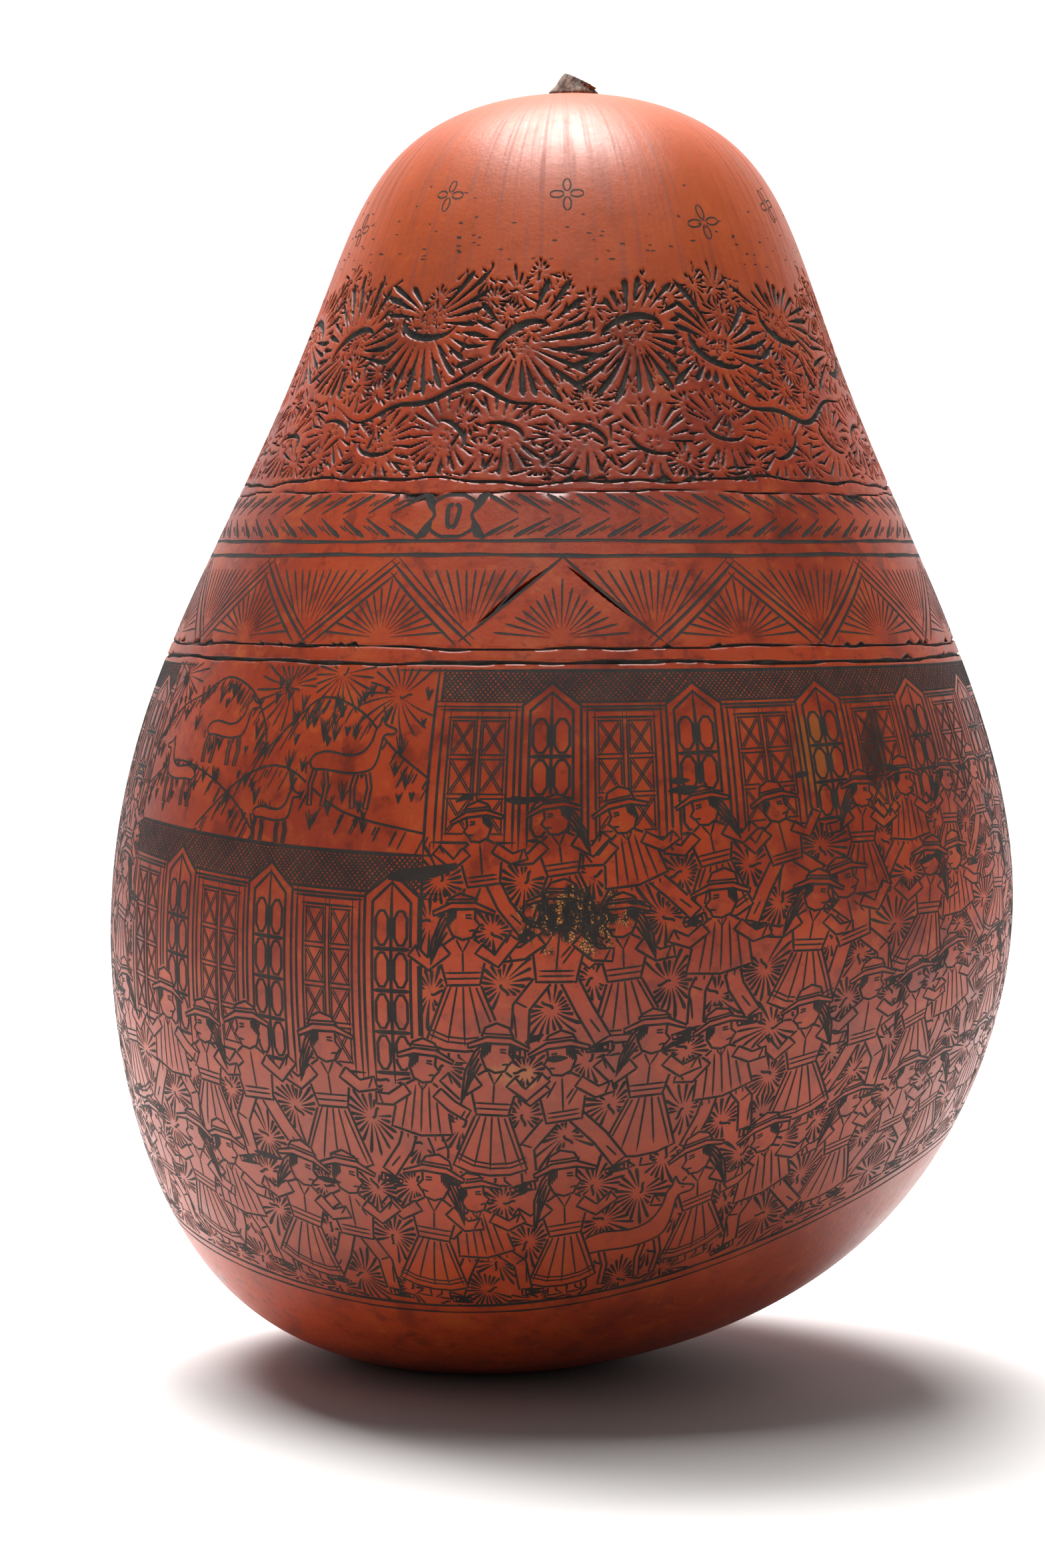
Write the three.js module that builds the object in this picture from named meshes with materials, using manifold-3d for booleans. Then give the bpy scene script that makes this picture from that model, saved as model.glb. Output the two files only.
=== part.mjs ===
// A pear-shaped gourd rattle: a dried, hollow gourd with its own stalk stub and its loose seeds.
// Millimetres, +Z up, the worn foot on z = 0, the front (with the two sound slits) towards -Y.

import * as THREE from 'three';
import { mergeVertices } from 'three/addons/utils/BufferGeometryUtils.js';
import Module from 'manifold-3d';

const wasm = await Module();
wasm.setup();

// ---- driving dimensions ----

const SKIN_HEIGHT = 136.4;         // of the round outline, before the foot is worn flat
const SKIN_SWELL = [45.5, 20.5, -7.5, -9.5, 23]; // radius terms: belly, pear, waist, shoulder, ends
const WALL = 3;                    // dried rind
const BASE_TILT = 7.5;             // degrees, the base rises towards +X
const TILT_FADE = 78;              // height at which the tilt has died out
const CROWN_LEAN = 1.1;            // the crown's centre stands this far towards +X
const LEAN_START = 55;             // height at which the lean begins
const FOOT_WEAR = 1.2;             // depth worn off the lowest point

const ROUND_SEGMENTS = 48;
const OUTER_STEPS = 26;
const INNER_STEPS = 22;

const SLIT_APEX = [-0.6, 86.1];    // where the two slits would meet: x and height
const SLIT_SPREAD = 38;            // degrees below level, either way from the apex
const SLIT_START = 0.9;            // distance of each slit's upper end from the apex
const SLIT_LENGTH = 9.6;
const SLIT_WIDTH = 0.6;
const SLIT_REACH = 6;              // the cutter's reach either side of the skin

const DIMPLE_RADIUS = 8;           // of the ball that hollows the crown under the stalk
const DIMPLE_DEPTH = 0.9;
const DIMPLE_SEGMENTS = 40;
const STEM_HEIGHT = 2;             // at the middle of the cut end
const STEM_SLANT = 0.8;            // the cut end is this much lower towards +X, higher towards -X
const STEM_RADII = [2.5, 2.55, 2.2, 1.95, 1.9, 1.75]; // from the root flare to the cut end
const STEM_RIBS = 5;
const STEM_RIB_DEPTH = 0.11;       // as a share of the radius
const STEM_LEAN = 0.9;             // the cut end stands this far towards +X
const STEM_SEGMENTS = 20;

const SEED_LENGTH = 9.4;
const SEED_WIDTH = 5.6;
const SEED_THICKNESS = 2.2;
const SEED_RINGS = [1, 6, 12];     // how many lie in each ring on the floor
const SEED_PITCH = 10.6;           // from ring to ring
const SEED_HEAP_X = -4;            // the heap's centre, over the low side of the base
const SEED_RING_TURN = 0.37;       // each ring starts this share of a seed's pitch further round
const SEED_TURN = 2.4;             // radians from one seed's heading to the next one's
const SEED_LIFT = 0.45;            // clearance of a seed above the floor under it

const GAP = 0.35;                  // clearance between separate pieces
const CUT_SLAB = 80;               // side of the block that wears the foot flat
const MERGE_DISTANCE = 1e-4;       // points nearer than this are one point

// ---- materials ----

const rind = new THREE.MeshStandardMaterial({ color: 0x8f3f24, roughness: 0.42, metalness: 0 });
const stalk = new THREE.MeshStandardMaterial({ color: 0x5b473a, roughness: 0.8, metalness: 0 });
const seedCoat = new THREE.MeshStandardMaterial({ color: 0xb89a6c, roughness: 0.7, metalness: 0 });

// ---- the gourd's outline ----

const radians = THREE.MathUtils.degToRad;
const baseSlope = Math.tan(radians(BASE_TILT));

// Half outline as (radius, height) at the angle turn, which runs from 0 at the base to PI at the crown.
function outlineAt(turn) {
  const c = Math.cos(turn);
  const swell = SKIN_SWELL.reduce((sum, term, power) => sum + term * c ** power, 0);
  return new THREE.Vector2(Math.sin(turn) * swell, SKIN_HEIGHT * (1 - c) / 2);
}

// The same outline moved inwards by the depth.
function insetOutlineAt(turn, depth) {
  const step = 1e-4;
  const along = outlineAt(turn + step).sub(outlineAt(turn - step)).normalize();
  const point = outlineAt(turn);
  return new THREE.Vector2(point.x - along.y * depth, point.y + along.x * depth);
}

function outlinePoints(steps, depth) {
  const points = [];
  for (let i = 0; i <= steps; i += 1) {
    const point = insetOutlineAt(Math.PI * i / steps, depth);
    if (i === 0 || i === steps) point.x = 0;
    points.push(point);
  }
  return points;
}

// How far the base's tilt lifts a point, and how far the lean carries it sideways.
function tiltRise(x, height) {
  return x * baseSlope * (1 - THREE.MathUtils.smoothstep(height, 0, TILT_FADE));
}

function leanShift(height) {
  return CROWN_LEAN * THREE.MathUtils.smoothstep(height, LEAN_START, SKIN_HEIGHT);
}

// Height of the lowest point of the tilted skin, found along its low side.
function lowestHeight() {
  let lowest = Infinity;
  for (let turn = 0; turn < 1; turn += 0.002) {
    const point = outlineAt(turn);
    lowest = Math.min(lowest, point.y + tiltRise(-point.x, point.y));
  }
  return lowest;
}

const footHeight = lowestHeight() + FOOT_WEAR;

// Carries a point of the round form to its place on the real, slightly crooked gourd.
function settle(point) {
  const height = point.z;
  point.z += tiltRise(point.x, height) - footHeight;
  point.x += leanShift(height);
  return point;
}

function settleGeometry(geometry) {
  const position = geometry.attributes.position;
  const point = new THREE.Vector3();
  for (let i = 0; i < position.count; i += 1) {
    settle(point.fromBufferAttribute(position, i));
    position.setXYZ(i, point.x, point.y, point.z);
  }
  return geometry;
}

// ---- solids ----

function bare(geometry) {
  geometry.deleteAttribute('normal');
  geometry.deleteAttribute('uv');
  return mergeVertices(geometry, MERGE_DISTANCE);
}

function solidOf(geometry) {
  const merged = bare(geometry);
  const vertProperties = new Float32Array(merged.attributes.position.array);
  const triVerts = new Uint32Array(merged.index.array);
  return new wasm.Manifold(new wasm.Mesh({ numProp: 3, vertProperties, triVerts }));
}

function geometryOf(solid) {
  const { vertProperties, triVerts } = solid.getMesh();
  const geometry = new THREE.BufferGeometry();
  geometry.setAttribute('position', new THREE.BufferAttribute(vertProperties, 3));
  geometry.setIndex(new THREE.BufferAttribute(triVerts, 1));
  geometry.computeVertexNormals();
  return geometry;
}

function turnedForm(steps, depth) {
  const lathe = new THREE.LatheGeometry(outlinePoints(steps, depth), ROUND_SEGMENTS);
  return solidOf(settleGeometry(lathe.rotateX(Math.PI / 2)));
}

// ---- the shell ----

// The point of the skin's front at this x and height, by halving along the outline.
function frontOfSkin(x, height) {
  const round = new THREE.Vector3(x - leanShift(height), 0, height + footHeight);
  round.z -= tiltRise(round.x, round.z);
  let low = 0;
  let high = Math.PI;
  for (let i = 0; i < 40; i += 1) {
    const middle = (low + high) / 2;
    if (outlineAt(middle).y < round.z) low = middle;
    else high = middle;
  }
  const radius = outlineAt(low).x;
  return new THREE.Vector3(x, -Math.sqrt(radius ** 2 - round.x ** 2), height);
}

// A saw kerf: a thin lens in plan, pushed through the rind square to the skin.
function slitCutter(side) {
  const apex = new THREE.Vector2(...SLIT_APEX);
  const spread = radians(SLIT_SPREAD);
  const direction = new THREE.Vector2(side * Math.cos(spread), -Math.sin(spread));
  const near = apex.clone().addScaledVector(direction, SLIT_START);
  const far = near.clone().addScaledVector(direction, SLIT_LENGTH);
  const start = frontOfSkin(near.x, near.y);
  const end = frontOfSkin(far.x, far.y);
  const along = end.clone().sub(start);
  const half = along.length() / 2;
  along.normalize();
  const centre = start.clone().add(end).multiplyScalar(0.5);
  const above = frontOfSkin(centre.x, centre.z + 1);
  const below = frontOfSkin(centre.x, centre.z - 1);
  const beside = frontOfSkin(centre.x + 1, centre.z).sub(frontOfSkin(centre.x - 1, centre.z));
  const outward = beside.cross(above.sub(below)).normalize();
  const across = outward.clone().cross(along).normalize();

  const lens = new THREE.Shape();
  lens.moveTo(-half, 0);
  lens.quadraticCurveTo(0, -SLIT_WIDTH, half, 0);
  lens.quadraticCurveTo(0, SLIT_WIDTH, -half, 0);
  const cutter = new THREE.ExtrudeGeometry(lens, {
    depth: 2 * SLIT_REACH, bevelEnabled: false, curveSegments: 6,
  });
  cutter.translate(0, 0, -SLIT_REACH);
  const frame = new THREE.Matrix4().makeBasis(along, across, outward);
  return solidOf(cutter.applyMatrix4(frame.setPosition(centre)));
}

function crownTop() {
  return settle(new THREE.Vector3(0, 0, SKIN_HEIGHT));
}

function dimpleBall() {
  const ball = new THREE.SphereGeometry(DIMPLE_RADIUS, DIMPLE_SEGMENTS, DIMPLE_SEGMENTS);
  ball.rotateX(Math.PI / 2);
  const top = crownTop();
  return solidOf(ball.translate(top.x, 0, top.z - DIMPLE_DEPTH + DIMPLE_RADIUS));
}

function footSlab() {
  const slab = new THREE.BoxGeometry(CUT_SLAB, CUT_SLAB, CUT_SLAB);
  return solidOf(slab.translate(0, 0, -CUT_SLAB / 2));
}

function gourdShell() {
  const shell = turnedForm(OUTER_STEPS, 0)
    .subtract(footSlab())
    .subtract(dimpleBall())
    .subtract(turnedForm(INNER_STEPS, WALL))
    .subtract(slitCutter(-1))
    .subtract(slitCutter(1));
  return new THREE.Mesh(geometryOf(shell), rind);
}

// ---- the stalk stub ----

// Rings of a ribbed stalk joined into a skin, closed by a point at each end.
function stemGeometry() {
  const top = crownTop();
  const floor = top.z - DIMPLE_DEPTH + GAP;
  const rimLift = STEM_RADII[0] ** 2 / (2 * DIMPLE_RADIUS);
  const last = STEM_RADII.length - 1;
  const positions = [top.x, 0, floor];
  STEM_RADII.forEach((radius, ring) => {
    const share = ring / last;
    for (let i = 0; i < STEM_SEGMENTS; i += 1) {
      const angle = 2 * Math.PI * i / STEM_SEGMENTS;
      const ribbed = radius * (1 + STEM_RIB_DEPTH * Math.cos(STEM_RIBS * angle));
      const slant = -STEM_SLANT * share ** 2 * Math.cos(angle);
      positions.push(
        top.x + STEM_LEAN * share ** 2 + ribbed * Math.cos(angle),
        ribbed * Math.sin(angle),
        floor + rimLift + (STEM_HEIGHT - rimLift) * share + slant,
      );
    }
  });
  positions.push(top.x + STEM_LEAN, 0, floor + STEM_HEIGHT);

  const index = [];
  const end = positions.length / 3 - 1;
  const at = (ring, i) => 1 + ring * STEM_SEGMENTS + i % STEM_SEGMENTS;
  for (let i = 0; i < STEM_SEGMENTS; i += 1) {
    index.push(0, at(0, i + 1), at(0, i));
    for (let ring = 0; ring < last; ring += 1) {
      index.push(at(ring, i), at(ring, i + 1), at(ring + 1, i));
      index.push(at(ring, i + 1), at(ring + 1, i + 1), at(ring + 1, i));
    }
    index.push(end, at(last, i), at(last, i + 1));
  }
  const geometry = new THREE.BufferGeometry();
  geometry.setAttribute('position', new THREE.Float32BufferAttribute(positions, 3));
  geometry.setIndex(index);
  geometry.computeVertexNormals();
  return geometry;
}

// ---- the loose seeds ----

// A flat gourd seed: blunt at one end, drawn in to a tip at the other, with a rounded edge.
function seedGeometry() {
  const edge = SEED_THICKNESS * 0.3;
  const long = SEED_LENGTH / 2 - edge;
  const wide = SEED_WIDTH / 2 - edge;
  const outline = new THREE.Shape();
  outline.moveTo(-long, 0);
  outline.bezierCurveTo(-long, wide * 0.7, -long * 0.35, wide, long * 0.25, wide);
  outline.bezierCurveTo(long * 0.8, wide, long, wide * 0.7, long, 0);
  outline.bezierCurveTo(long, -wide * 0.7, long * 0.8, -wide, long * 0.25, -wide);
  outline.bezierCurveTo(-long * 0.35, -wide, -long, -wide * 0.7, -long, 0);
  const geometry = new THREE.ExtrudeGeometry(outline, {
    depth: SEED_THICKNESS - 2 * edge,
    bevelEnabled: true,
    bevelThickness: edge,
    bevelSize: edge,
    bevelSegments: 2,
    curveSegments: 4,
  });
  return bare(geometry.translate(0, 0, edge - SEED_THICKNESS / 2));
}

// The inner floor's height under the point x, y of the settled gourd.
function floorHeight(x, y) {
  const radius = Math.hypot(x, y);
  let low = 0;
  let high = Math.PI / 2;
  for (let i = 0; i < 40; i += 1) {
    const middle = (low + high) / 2;
    if (insetOutlineAt(middle, WALL).x < radius) low = middle;
    else high = middle;
  }
  const height = insetOutlineAt(low, WALL).y;
  return height + tiltRise(x, height) - footHeight;
}

// Lays a seed on the floor at x, y, turned by the heading and leaning with the slope under it.
function layOnFloor(seed, x, y, heading) {
  const reach = SEED_LENGTH / 2;
  const slopeX = (floorHeight(x + reach, y) - floorHeight(x - reach, y)) / (2 * reach);
  const slopeY = (floorHeight(x, y + reach) - floorHeight(x, y - reach)) / (2 * reach);
  const up = new THREE.Vector3(-slopeX, -slopeY, 1).normalize();
  const lean = new THREE.Quaternion().setFromUnitVectors(new THREE.Vector3(0, 0, 1), up);
  const turn = new THREE.Quaternion().setFromAxisAngle(new THREE.Vector3(0, 0, 1), heading);
  seed.quaternion.copy(lean.multiply(turn));

  const position = seed.geometry.attributes.position;
  const corner = new THREE.Vector3();
  let rise = -Infinity;
  for (let i = 0; i < position.count; i += 1) {
    corner.fromBufferAttribute(position, i).applyQuaternion(seed.quaternion);
    rise = Math.max(rise, floorHeight(x + corner.x, y + corner.y) - corner.z);
  }
  seed.position.set(x, y, rise + SEED_LIFT);
}

function looseSeeds() {
  const seeds = [];
  SEED_RINGS.forEach((count, ring) => {
    for (let i = 0; i < count; i += 1) {
      const around = 2 * Math.PI * (i + SEED_RING_TURN * ring) / count;
      const seed = new THREE.Mesh(seedGeometry(), seedCoat);
      const x = SEED_HEAP_X + SEED_PITCH * ring * Math.cos(around);
      const y = SEED_PITCH * ring * Math.sin(around);
      seed.name = `seed_${String(seeds.length + 1).padStart(2, '0')}`;
      layOnFloor(seed, x, y, SEED_TURN * seeds.length);
      seeds.push(seed);
    }
  });
  return seeds;
}

// ---- the assembly ----

const rattle = new THREE.Group();

const shell = gourdShell();
shell.name = 'gourd_shell';
rattle.add(shell);

const stem = new THREE.Mesh(stemGeometry(), stalk);
stem.name = 'stem';
rattle.add(stem);

rattle.add(...looseSeeds());

export default rattle;
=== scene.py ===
# A pear-shaped, engraved gourd rattle standing on a pale floor. Lengths are millimetres, made
# into metres where a mesh or a lamp is placed. The front, with the two sound slits, faces -Y.
import math
import random

import bpy
import numpy as np
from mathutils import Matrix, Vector


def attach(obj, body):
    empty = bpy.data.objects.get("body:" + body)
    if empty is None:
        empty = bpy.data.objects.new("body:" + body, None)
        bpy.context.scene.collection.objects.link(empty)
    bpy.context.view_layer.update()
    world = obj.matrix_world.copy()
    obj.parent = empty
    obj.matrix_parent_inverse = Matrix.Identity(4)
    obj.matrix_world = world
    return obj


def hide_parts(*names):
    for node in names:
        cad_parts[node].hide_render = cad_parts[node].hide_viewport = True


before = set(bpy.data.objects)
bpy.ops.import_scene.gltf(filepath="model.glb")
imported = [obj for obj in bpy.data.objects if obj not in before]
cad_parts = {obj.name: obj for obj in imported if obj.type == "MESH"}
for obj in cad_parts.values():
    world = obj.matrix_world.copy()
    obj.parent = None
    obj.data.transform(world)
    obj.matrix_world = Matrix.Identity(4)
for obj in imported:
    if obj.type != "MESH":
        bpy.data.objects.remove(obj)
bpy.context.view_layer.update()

MM = 0.001
FULL_TURN = 2 * math.pi
rng = random.Random(7)


# ---------------------------------------------------------------- the gourd's form

SKIN_HEIGHT = 136.4                          # of the round outline, before the foot is worn flat
SKIN_SWELL = (45.5, 20.5, -7.5, -9.5, 23.0)  # radius terms: belly, pear, waist, shoulder, ends
WALL = 3.0
BASE_SLOPE = math.tan(math.radians(7.5))     # the base rises towards +X
TILT_FADE = 78.0                             # height at which the tilt has died out
CROWN_LEAN = 1.1                             # the crown's centre stands this far towards +X
LEAN_START = 55.0                            # height at which the lean begins
FOOT_WEAR = 1.2                              # depth worn off the lowest point
DIMPLE_RADIUS = 8.0
DIMPLE_DEPTH = 0.9


def smooth(value, low, high):
    """Rises smoothly from 0 at low to 1 at high."""
    share = np.clip((value - low) / (high - low), 0, 1)
    return share * share * (3 - 2 * share)


def outline(turn):
    """Radius and height of the round half outline; turn is 0 at the base and pi at the crown."""
    c = np.cos(turn)
    swell = sum(term * c ** power for power, term in enumerate(SKIN_SWELL))
    return np.sin(turn) * swell, SKIN_HEIGHT * (1 - c) / 2


TURNS = np.linspace(math.pi, 0, 6001)
RADII, HEIGHTS = outline(TURNS)
DROPS = np.concatenate([[0], np.cumsum(np.hypot(np.diff(RADII), np.diff(HEIGHTS)))])
SKIN_LENGTH = DROPS[-1]                 # from the crown's centre down the skin to the base's
STEEP = np.gradient(RADII, DROPS)       # radius gained for each millimetre down the skin
FALL = -np.gradient(HEIGHTS, DROPS)     # height lost for each millimetre down the skin


def tilt_rise(x, height):
    """How much the slope of the base lifts a point."""
    return x * BASE_SLOPE * (1 - smooth(height, 0, TILT_FADE))


FOOT_HEIGHT = float(np.min(HEIGHTS + tilt_rise(-RADII, HEIGHTS))) + FOOT_WEAR


def settle(x, y, height):
    """Carries points of the round form to their place on the slightly crooked gourd."""
    lean = CROWN_LEAN * smooth(height, LEAN_START, SKIN_HEIGHT)
    return np.stack([x + lean, y, height + tilt_rise(x, height) - FOOT_HEIGHT], axis=-1)


def skin(angle, drop, depth=0.0):
    """Points at an angle round from the front, a drop down the skin, and a depth under it."""
    drop = np.clip(drop, 0, SKIN_LENGTH)
    radius = np.interp(drop, DROPS, RADII) - depth * np.interp(drop, DROPS, FALL)
    height = np.interp(drop, DROPS, HEIGHTS) - depth * np.interp(drop, DROPS, STEEP)
    return settle(radius * np.sin(angle), -radius * np.cos(angle), height)


CROWN = settle(0.0, 0.0, SKIN_HEIGHT)


def hollow_dimple(points):
    """Presses the crown's centre down into the shallow bowl that the stalk stands in."""
    bowl = CROWN[2] - DIMPLE_DEPTH + DIMPLE_RADIUS
    away = np.hypot(points[..., 0] - CROWN[0], points[..., 1])
    under = bowl - np.sqrt(np.maximum(DIMPLE_RADIUS ** 2 - away ** 2, 1))
    under = np.where((away < 5) & (points[..., 2] > 100), under, 1e3)
    gap = points[..., 2] - under
    soft = 0.5 * (points[..., 2] + under - np.sqrt(gap * gap + 0.02))
    points[..., 2] = np.where(under < 1e3, soft, points[..., 2])
    return points


def wear_foot(points):
    """Flattens what would reach below the floor, with a slightly rounded edge."""
    z = points[..., 2]
    points[..., 2] = np.where(z < 2, 0.5 * (z + np.sqrt(z * z + 0.01)), z)
    return points


# ---------------------------------------------------------------- meshes

def mesh_object(name, points, faces, smooth_faces=True):
    """An object from points in millimetres and a list of index arrays, one row for each face."""
    mesh = bpy.data.meshes.new(name)
    corners = np.concatenate([part.ravel() for part in faces]).astype(np.int32)
    sizes = np.concatenate([np.full(len(part), part.shape[1]) for part in faces])
    starts = np.concatenate([[0], np.cumsum(sizes)[:-1]]).astype(np.int32)
    mesh.vertices.add(len(points))
    mesh.vertices.foreach_set("co", (np.asarray(points, dtype=np.float64) * MM).ravel())
    mesh.loops.add(len(corners))
    mesh.loops.foreach_set("vertex_index", corners)
    mesh.polygons.add(len(starts))
    mesh.polygons.foreach_set("loop_start", starts)
    mesh.polygons.foreach_set("use_smooth", np.full(len(starts), smooth_faces))
    mesh.update(calc_edges=True)
    thing = bpy.data.objects.new(name, mesh)
    bpy.context.scene.collection.objects.link(thing)
    return thing


def ring_faces(rows, columns, first=0, flip=False):
    """Quads joining each ring of points to the next one."""
    row, column = np.meshgrid(np.arange(rows - 1), np.arange(columns), indexing="ij")
    here = first + row * columns + column
    beside = first + row * columns + (column + 1) % columns
    quads = np.stack([here, here + columns, beside + columns, beside], axis=-1).reshape(-1, 4)
    return quads[:, ::-1] if flip else quads


def cap_faces(centre, first, columns, flip=False):
    """Triangles from a centre point to the ring that starts at first."""
    column = np.arange(columns)
    tris = np.stack([np.full(columns, centre), first + column, first + (column + 1) % columns], axis=-1)
    return tris[:, ::-1] if flip else tris


def closed_skin(drops, columns, depth, first=0, flip=False):
    """Points and faces of a closed surface round the gourd, rows at the drops between its poles."""
    angle = np.linspace(-math.pi, math.pi, columns, endpoint=False)
    grid_angle, grid_drop = np.meshgrid(angle, drops)
    points = skin(grid_angle, grid_drop, depth).reshape(-1, 3)
    poles = [skin(0.0, 0.0, np.mean(depth)), skin(0.0, SKIN_LENGTH, np.mean(depth))]
    count = len(points)
    faces = [
        ring_faces(len(drops), columns, first, flip),
        cap_faces(first + count, first, columns, flip),
        cap_faces(first + count + 1, first + count - columns, columns, not flip),
    ]
    return np.concatenate([points, poles]), faces


# ---------------------------------------------------------------- drawing on the skin

LONGEST_STEP = 1.1   # a longer chord would sink under the round skin


def lengths_along(points):
    """How far along the line each of its points lies."""
    return np.concatenate([[0], np.cumsum(np.hypot(*np.diff(points, axis=0).T))])


def divided(points, widths):
    """The same line with no step too long to follow the round of the skin."""
    steps = lengths_along(points)
    spans = [np.linspace(a, b, int((b - a) / LONGEST_STEP) + 2)[:-1] for a, b in zip(steps, steps[1:])]
    marks = np.concatenate(spans + [steps[-1:]])
    run = np.stack([np.interp(marks, steps, points[:, 0]), np.interp(marks, steps, points[:, 1])], -1)
    return run, np.interp(marks, steps, widths)


class Sheet:
    """A flat strip wrapped round the gourd, which knows what of it is already covered."""

    CELL = 0.15   # side of one cell of the record of what is covered

    def __init__(self, radius, top, height, foot=None):
        self.radius = radius
        self.top = top
        self.height = height
        self.foot = foot
        self.width = FULL_TURN * radius
        self.columns = int(round(self.width / self.CELL))
        self.rows = int(round(height / self.CELL)) + 1
        self.taken = np.zeros((self.rows, self.columns), dtype=bool)
        self.strokes = []

    def place(self, x, y):
        """Angle and drop of a point x round from the front and y down from the strip's top."""
        angle = x / self.radius
        if self.foot is None:
            return angle, self.top + y
        return angle, self.top + y * (self.foot(angle) - self.top) / self.height

    def cells(self, x, y):
        column = np.floor((np.asarray(x) + self.width / 2) / self.CELL).astype(int) % self.columns
        row = np.clip(np.floor(np.asarray(y) / self.CELL).astype(int), 0, self.rows - 1)
        return row, column

    def covered(self, x, y):
        outside = (np.asarray(y) < 0) | (np.asarray(y) > self.height)
        return self.taken[self.cells(x, y)] | outside

    def cover(self, corners):
        """Marks a polygon as covered, by the even-odd rule at the middle of each cell."""
        corners = np.asarray(corners, dtype=float)
        low = np.floor(corners.min(axis=0) / self.CELL).astype(int)
        high = np.ceil(corners.max(axis=0) / self.CELL).astype(int)
        x = (np.arange(low[0], high[0] + 1) + 0.5) * self.CELL
        y = (np.arange(low[1], high[1] + 1) + 0.5) * self.CELL
        x, y = np.meshgrid(x, y)
        inside = np.zeros(x.shape, dtype=bool)
        for (x0, y0), (x1, y1) in zip(corners, np.roll(corners, -1, axis=0)):
            if y0 == y1:
                continue
            spans = (y0 > y) != (y1 > y)
            inside ^= spans & (x < (x1 - x0) * (y - y0) / (y1 - y0) + x0)
        keep = inside & (y >= 0) & (y <= self.height)
        self.taken[self.cells(x[keep], y[keep])] = True

    def stroke(self, points, widths, clip=True):
        """Cuts a line through the points, with its half widths, where nothing covers it."""
        points = np.asarray(points, dtype=float)
        widths = np.broadcast_to(np.asarray(widths, dtype=float), (len(points),))
        if not clip:
            self.strokes.append(divided(points, widths))
            return
        steps = lengths_along(points)
        count = max(2, int(steps[-1] / self.CELL) + 1)
        along = np.linspace(0, steps[-1], count)
        x = np.interp(along, steps, points[:, 0])
        y = np.interp(along, steps, points[:, 1])
        shown = ~self.covered(x, y)
        edges = np.flatnonzero(np.diff(np.concatenate([[0], shown.astype(int), [0]])))
        for start, stop in zip(edges[::2], edges[1::2]):
            if stop - start < 3:
                continue
            low, high = along[start], along[stop - 1]
            inner = steps[(steps > low + 0.05) & (steps < high - 0.05)]
            marks = np.concatenate([[low], inner, [high]])
            run = np.stack([np.interp(marks, steps, side) for side in points.T], -1)
            self.strokes.append(divided(run, np.interp(marks, steps, widths)))

    def line(self, points, width=0.15, clip=True):
        """A line of one width whose two ends come to a point."""
        points = np.asarray(points, dtype=float)
        first = points[0] + (points[0] - points[1]) * 0.05
        last = points[-1] + (points[-1] - points[-2]) * 0.05
        near = points[0] + (points[1] - points[0]) * 0.12
        far = points[-1] + (points[-2] - points[-1]) * 0.12
        if len(points) == 2:
            path = [first, near, far, last]
        else:
            path = [first, near, *points[1:-1], far, last]
        widths = np.full(len(path), width)
        widths[0] = widths[-1] = 0.3 * width
        self.stroke(path, widths, clip)


def curve(points, steps=5):
    """A smooth curve through the points, with a few steps between each pair."""
    points = np.asarray(points, dtype=float)
    padded = np.concatenate([[2 * points[0] - points[1]], points, [2 * points[-1] - points[-2]]])
    share = np.linspace(0, 1, steps, endpoint=False)[:, None]
    pieces = []
    for a, b, c, d in zip(padded, padded[1:], padded[2:], padded[3:]):
        swing = (-a + 3 * b - 3 * c + d) * share ** 3
        pieces.append(0.5 * (2 * b + (c - a) * share + (2 * a - 5 * b + 4 * c - d) * share ** 2 + swing))
    return np.concatenate(pieces + [points[-1:]])


def ribbon_mesh(name, sheets, lift=0.014, hollow=0.006, root=0.07):
    """All strokes of the sheets as closed strips of soot, each bedded in the skin."""
    stations, angles, drops, depths, links = 0, [], [], [], []
    for sheet in sheets:
        for points, widths in sheet.strokes:
            ahead = np.gradient(points, axis=0)
            ahead /= np.maximum(np.hypot(ahead[:, 0], ahead[:, 1]), 1e-9)[:, None]
            side = np.stack([-ahead[:, 1], ahead[:, 0]], axis=-1) * widths[:, None]
            rows = np.stack([points + side, points, points - side, points], axis=1)
            angle, drop = sheet.place(rows[..., 0], rows[..., 1])
            angles.append(angle)
            drops.append(drop)
            depths.append(np.tile([-lift, -hollow, -lift, root], (len(points), 1)))
            links.append(np.arange(stations, stations + len(points) - 1))
            stations += len(points)
    points = skin(np.concatenate(angles), np.concatenate(drops), np.concatenate(depths)).reshape(-1, 3)
    here = np.concatenate(links) * 4
    corner = np.arange(4)
    following = (corner + 1) % 4
    sides = np.stack([
        here[:, None] + corner, here[:, None] + following,
        here[:, None] + 4 + following, here[:, None] + 4 + corner,
    ], axis=-1).reshape(-1, 4)
    starts = np.array([link[0] for link in links]) * 4
    ends = np.array([link[-1] + 1 for link in links]) * 4
    caps = np.concatenate([starts[:, None] + corner[::-1], ends[:, None] + corner])
    return mesh_object(name, points, [sides, caps], smooth_faces=False)


# ---------------------------------------------------------------- the sheets

FIGURE_SHEET_RADIUS = 46.0
FRIEZE_TOP = 79.3
FRIEZE_HEIGHT = 67.0
RELIEF_TOP, RELIEF_BOTTOM = 34.5, 58.6


def frieze_foot(angle):
    """Drop of the border under the figures, which dips at the front."""
    return 134.0 + 12.5 * np.maximum(np.cos(angle + 0.09), 0) ** 2


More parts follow.
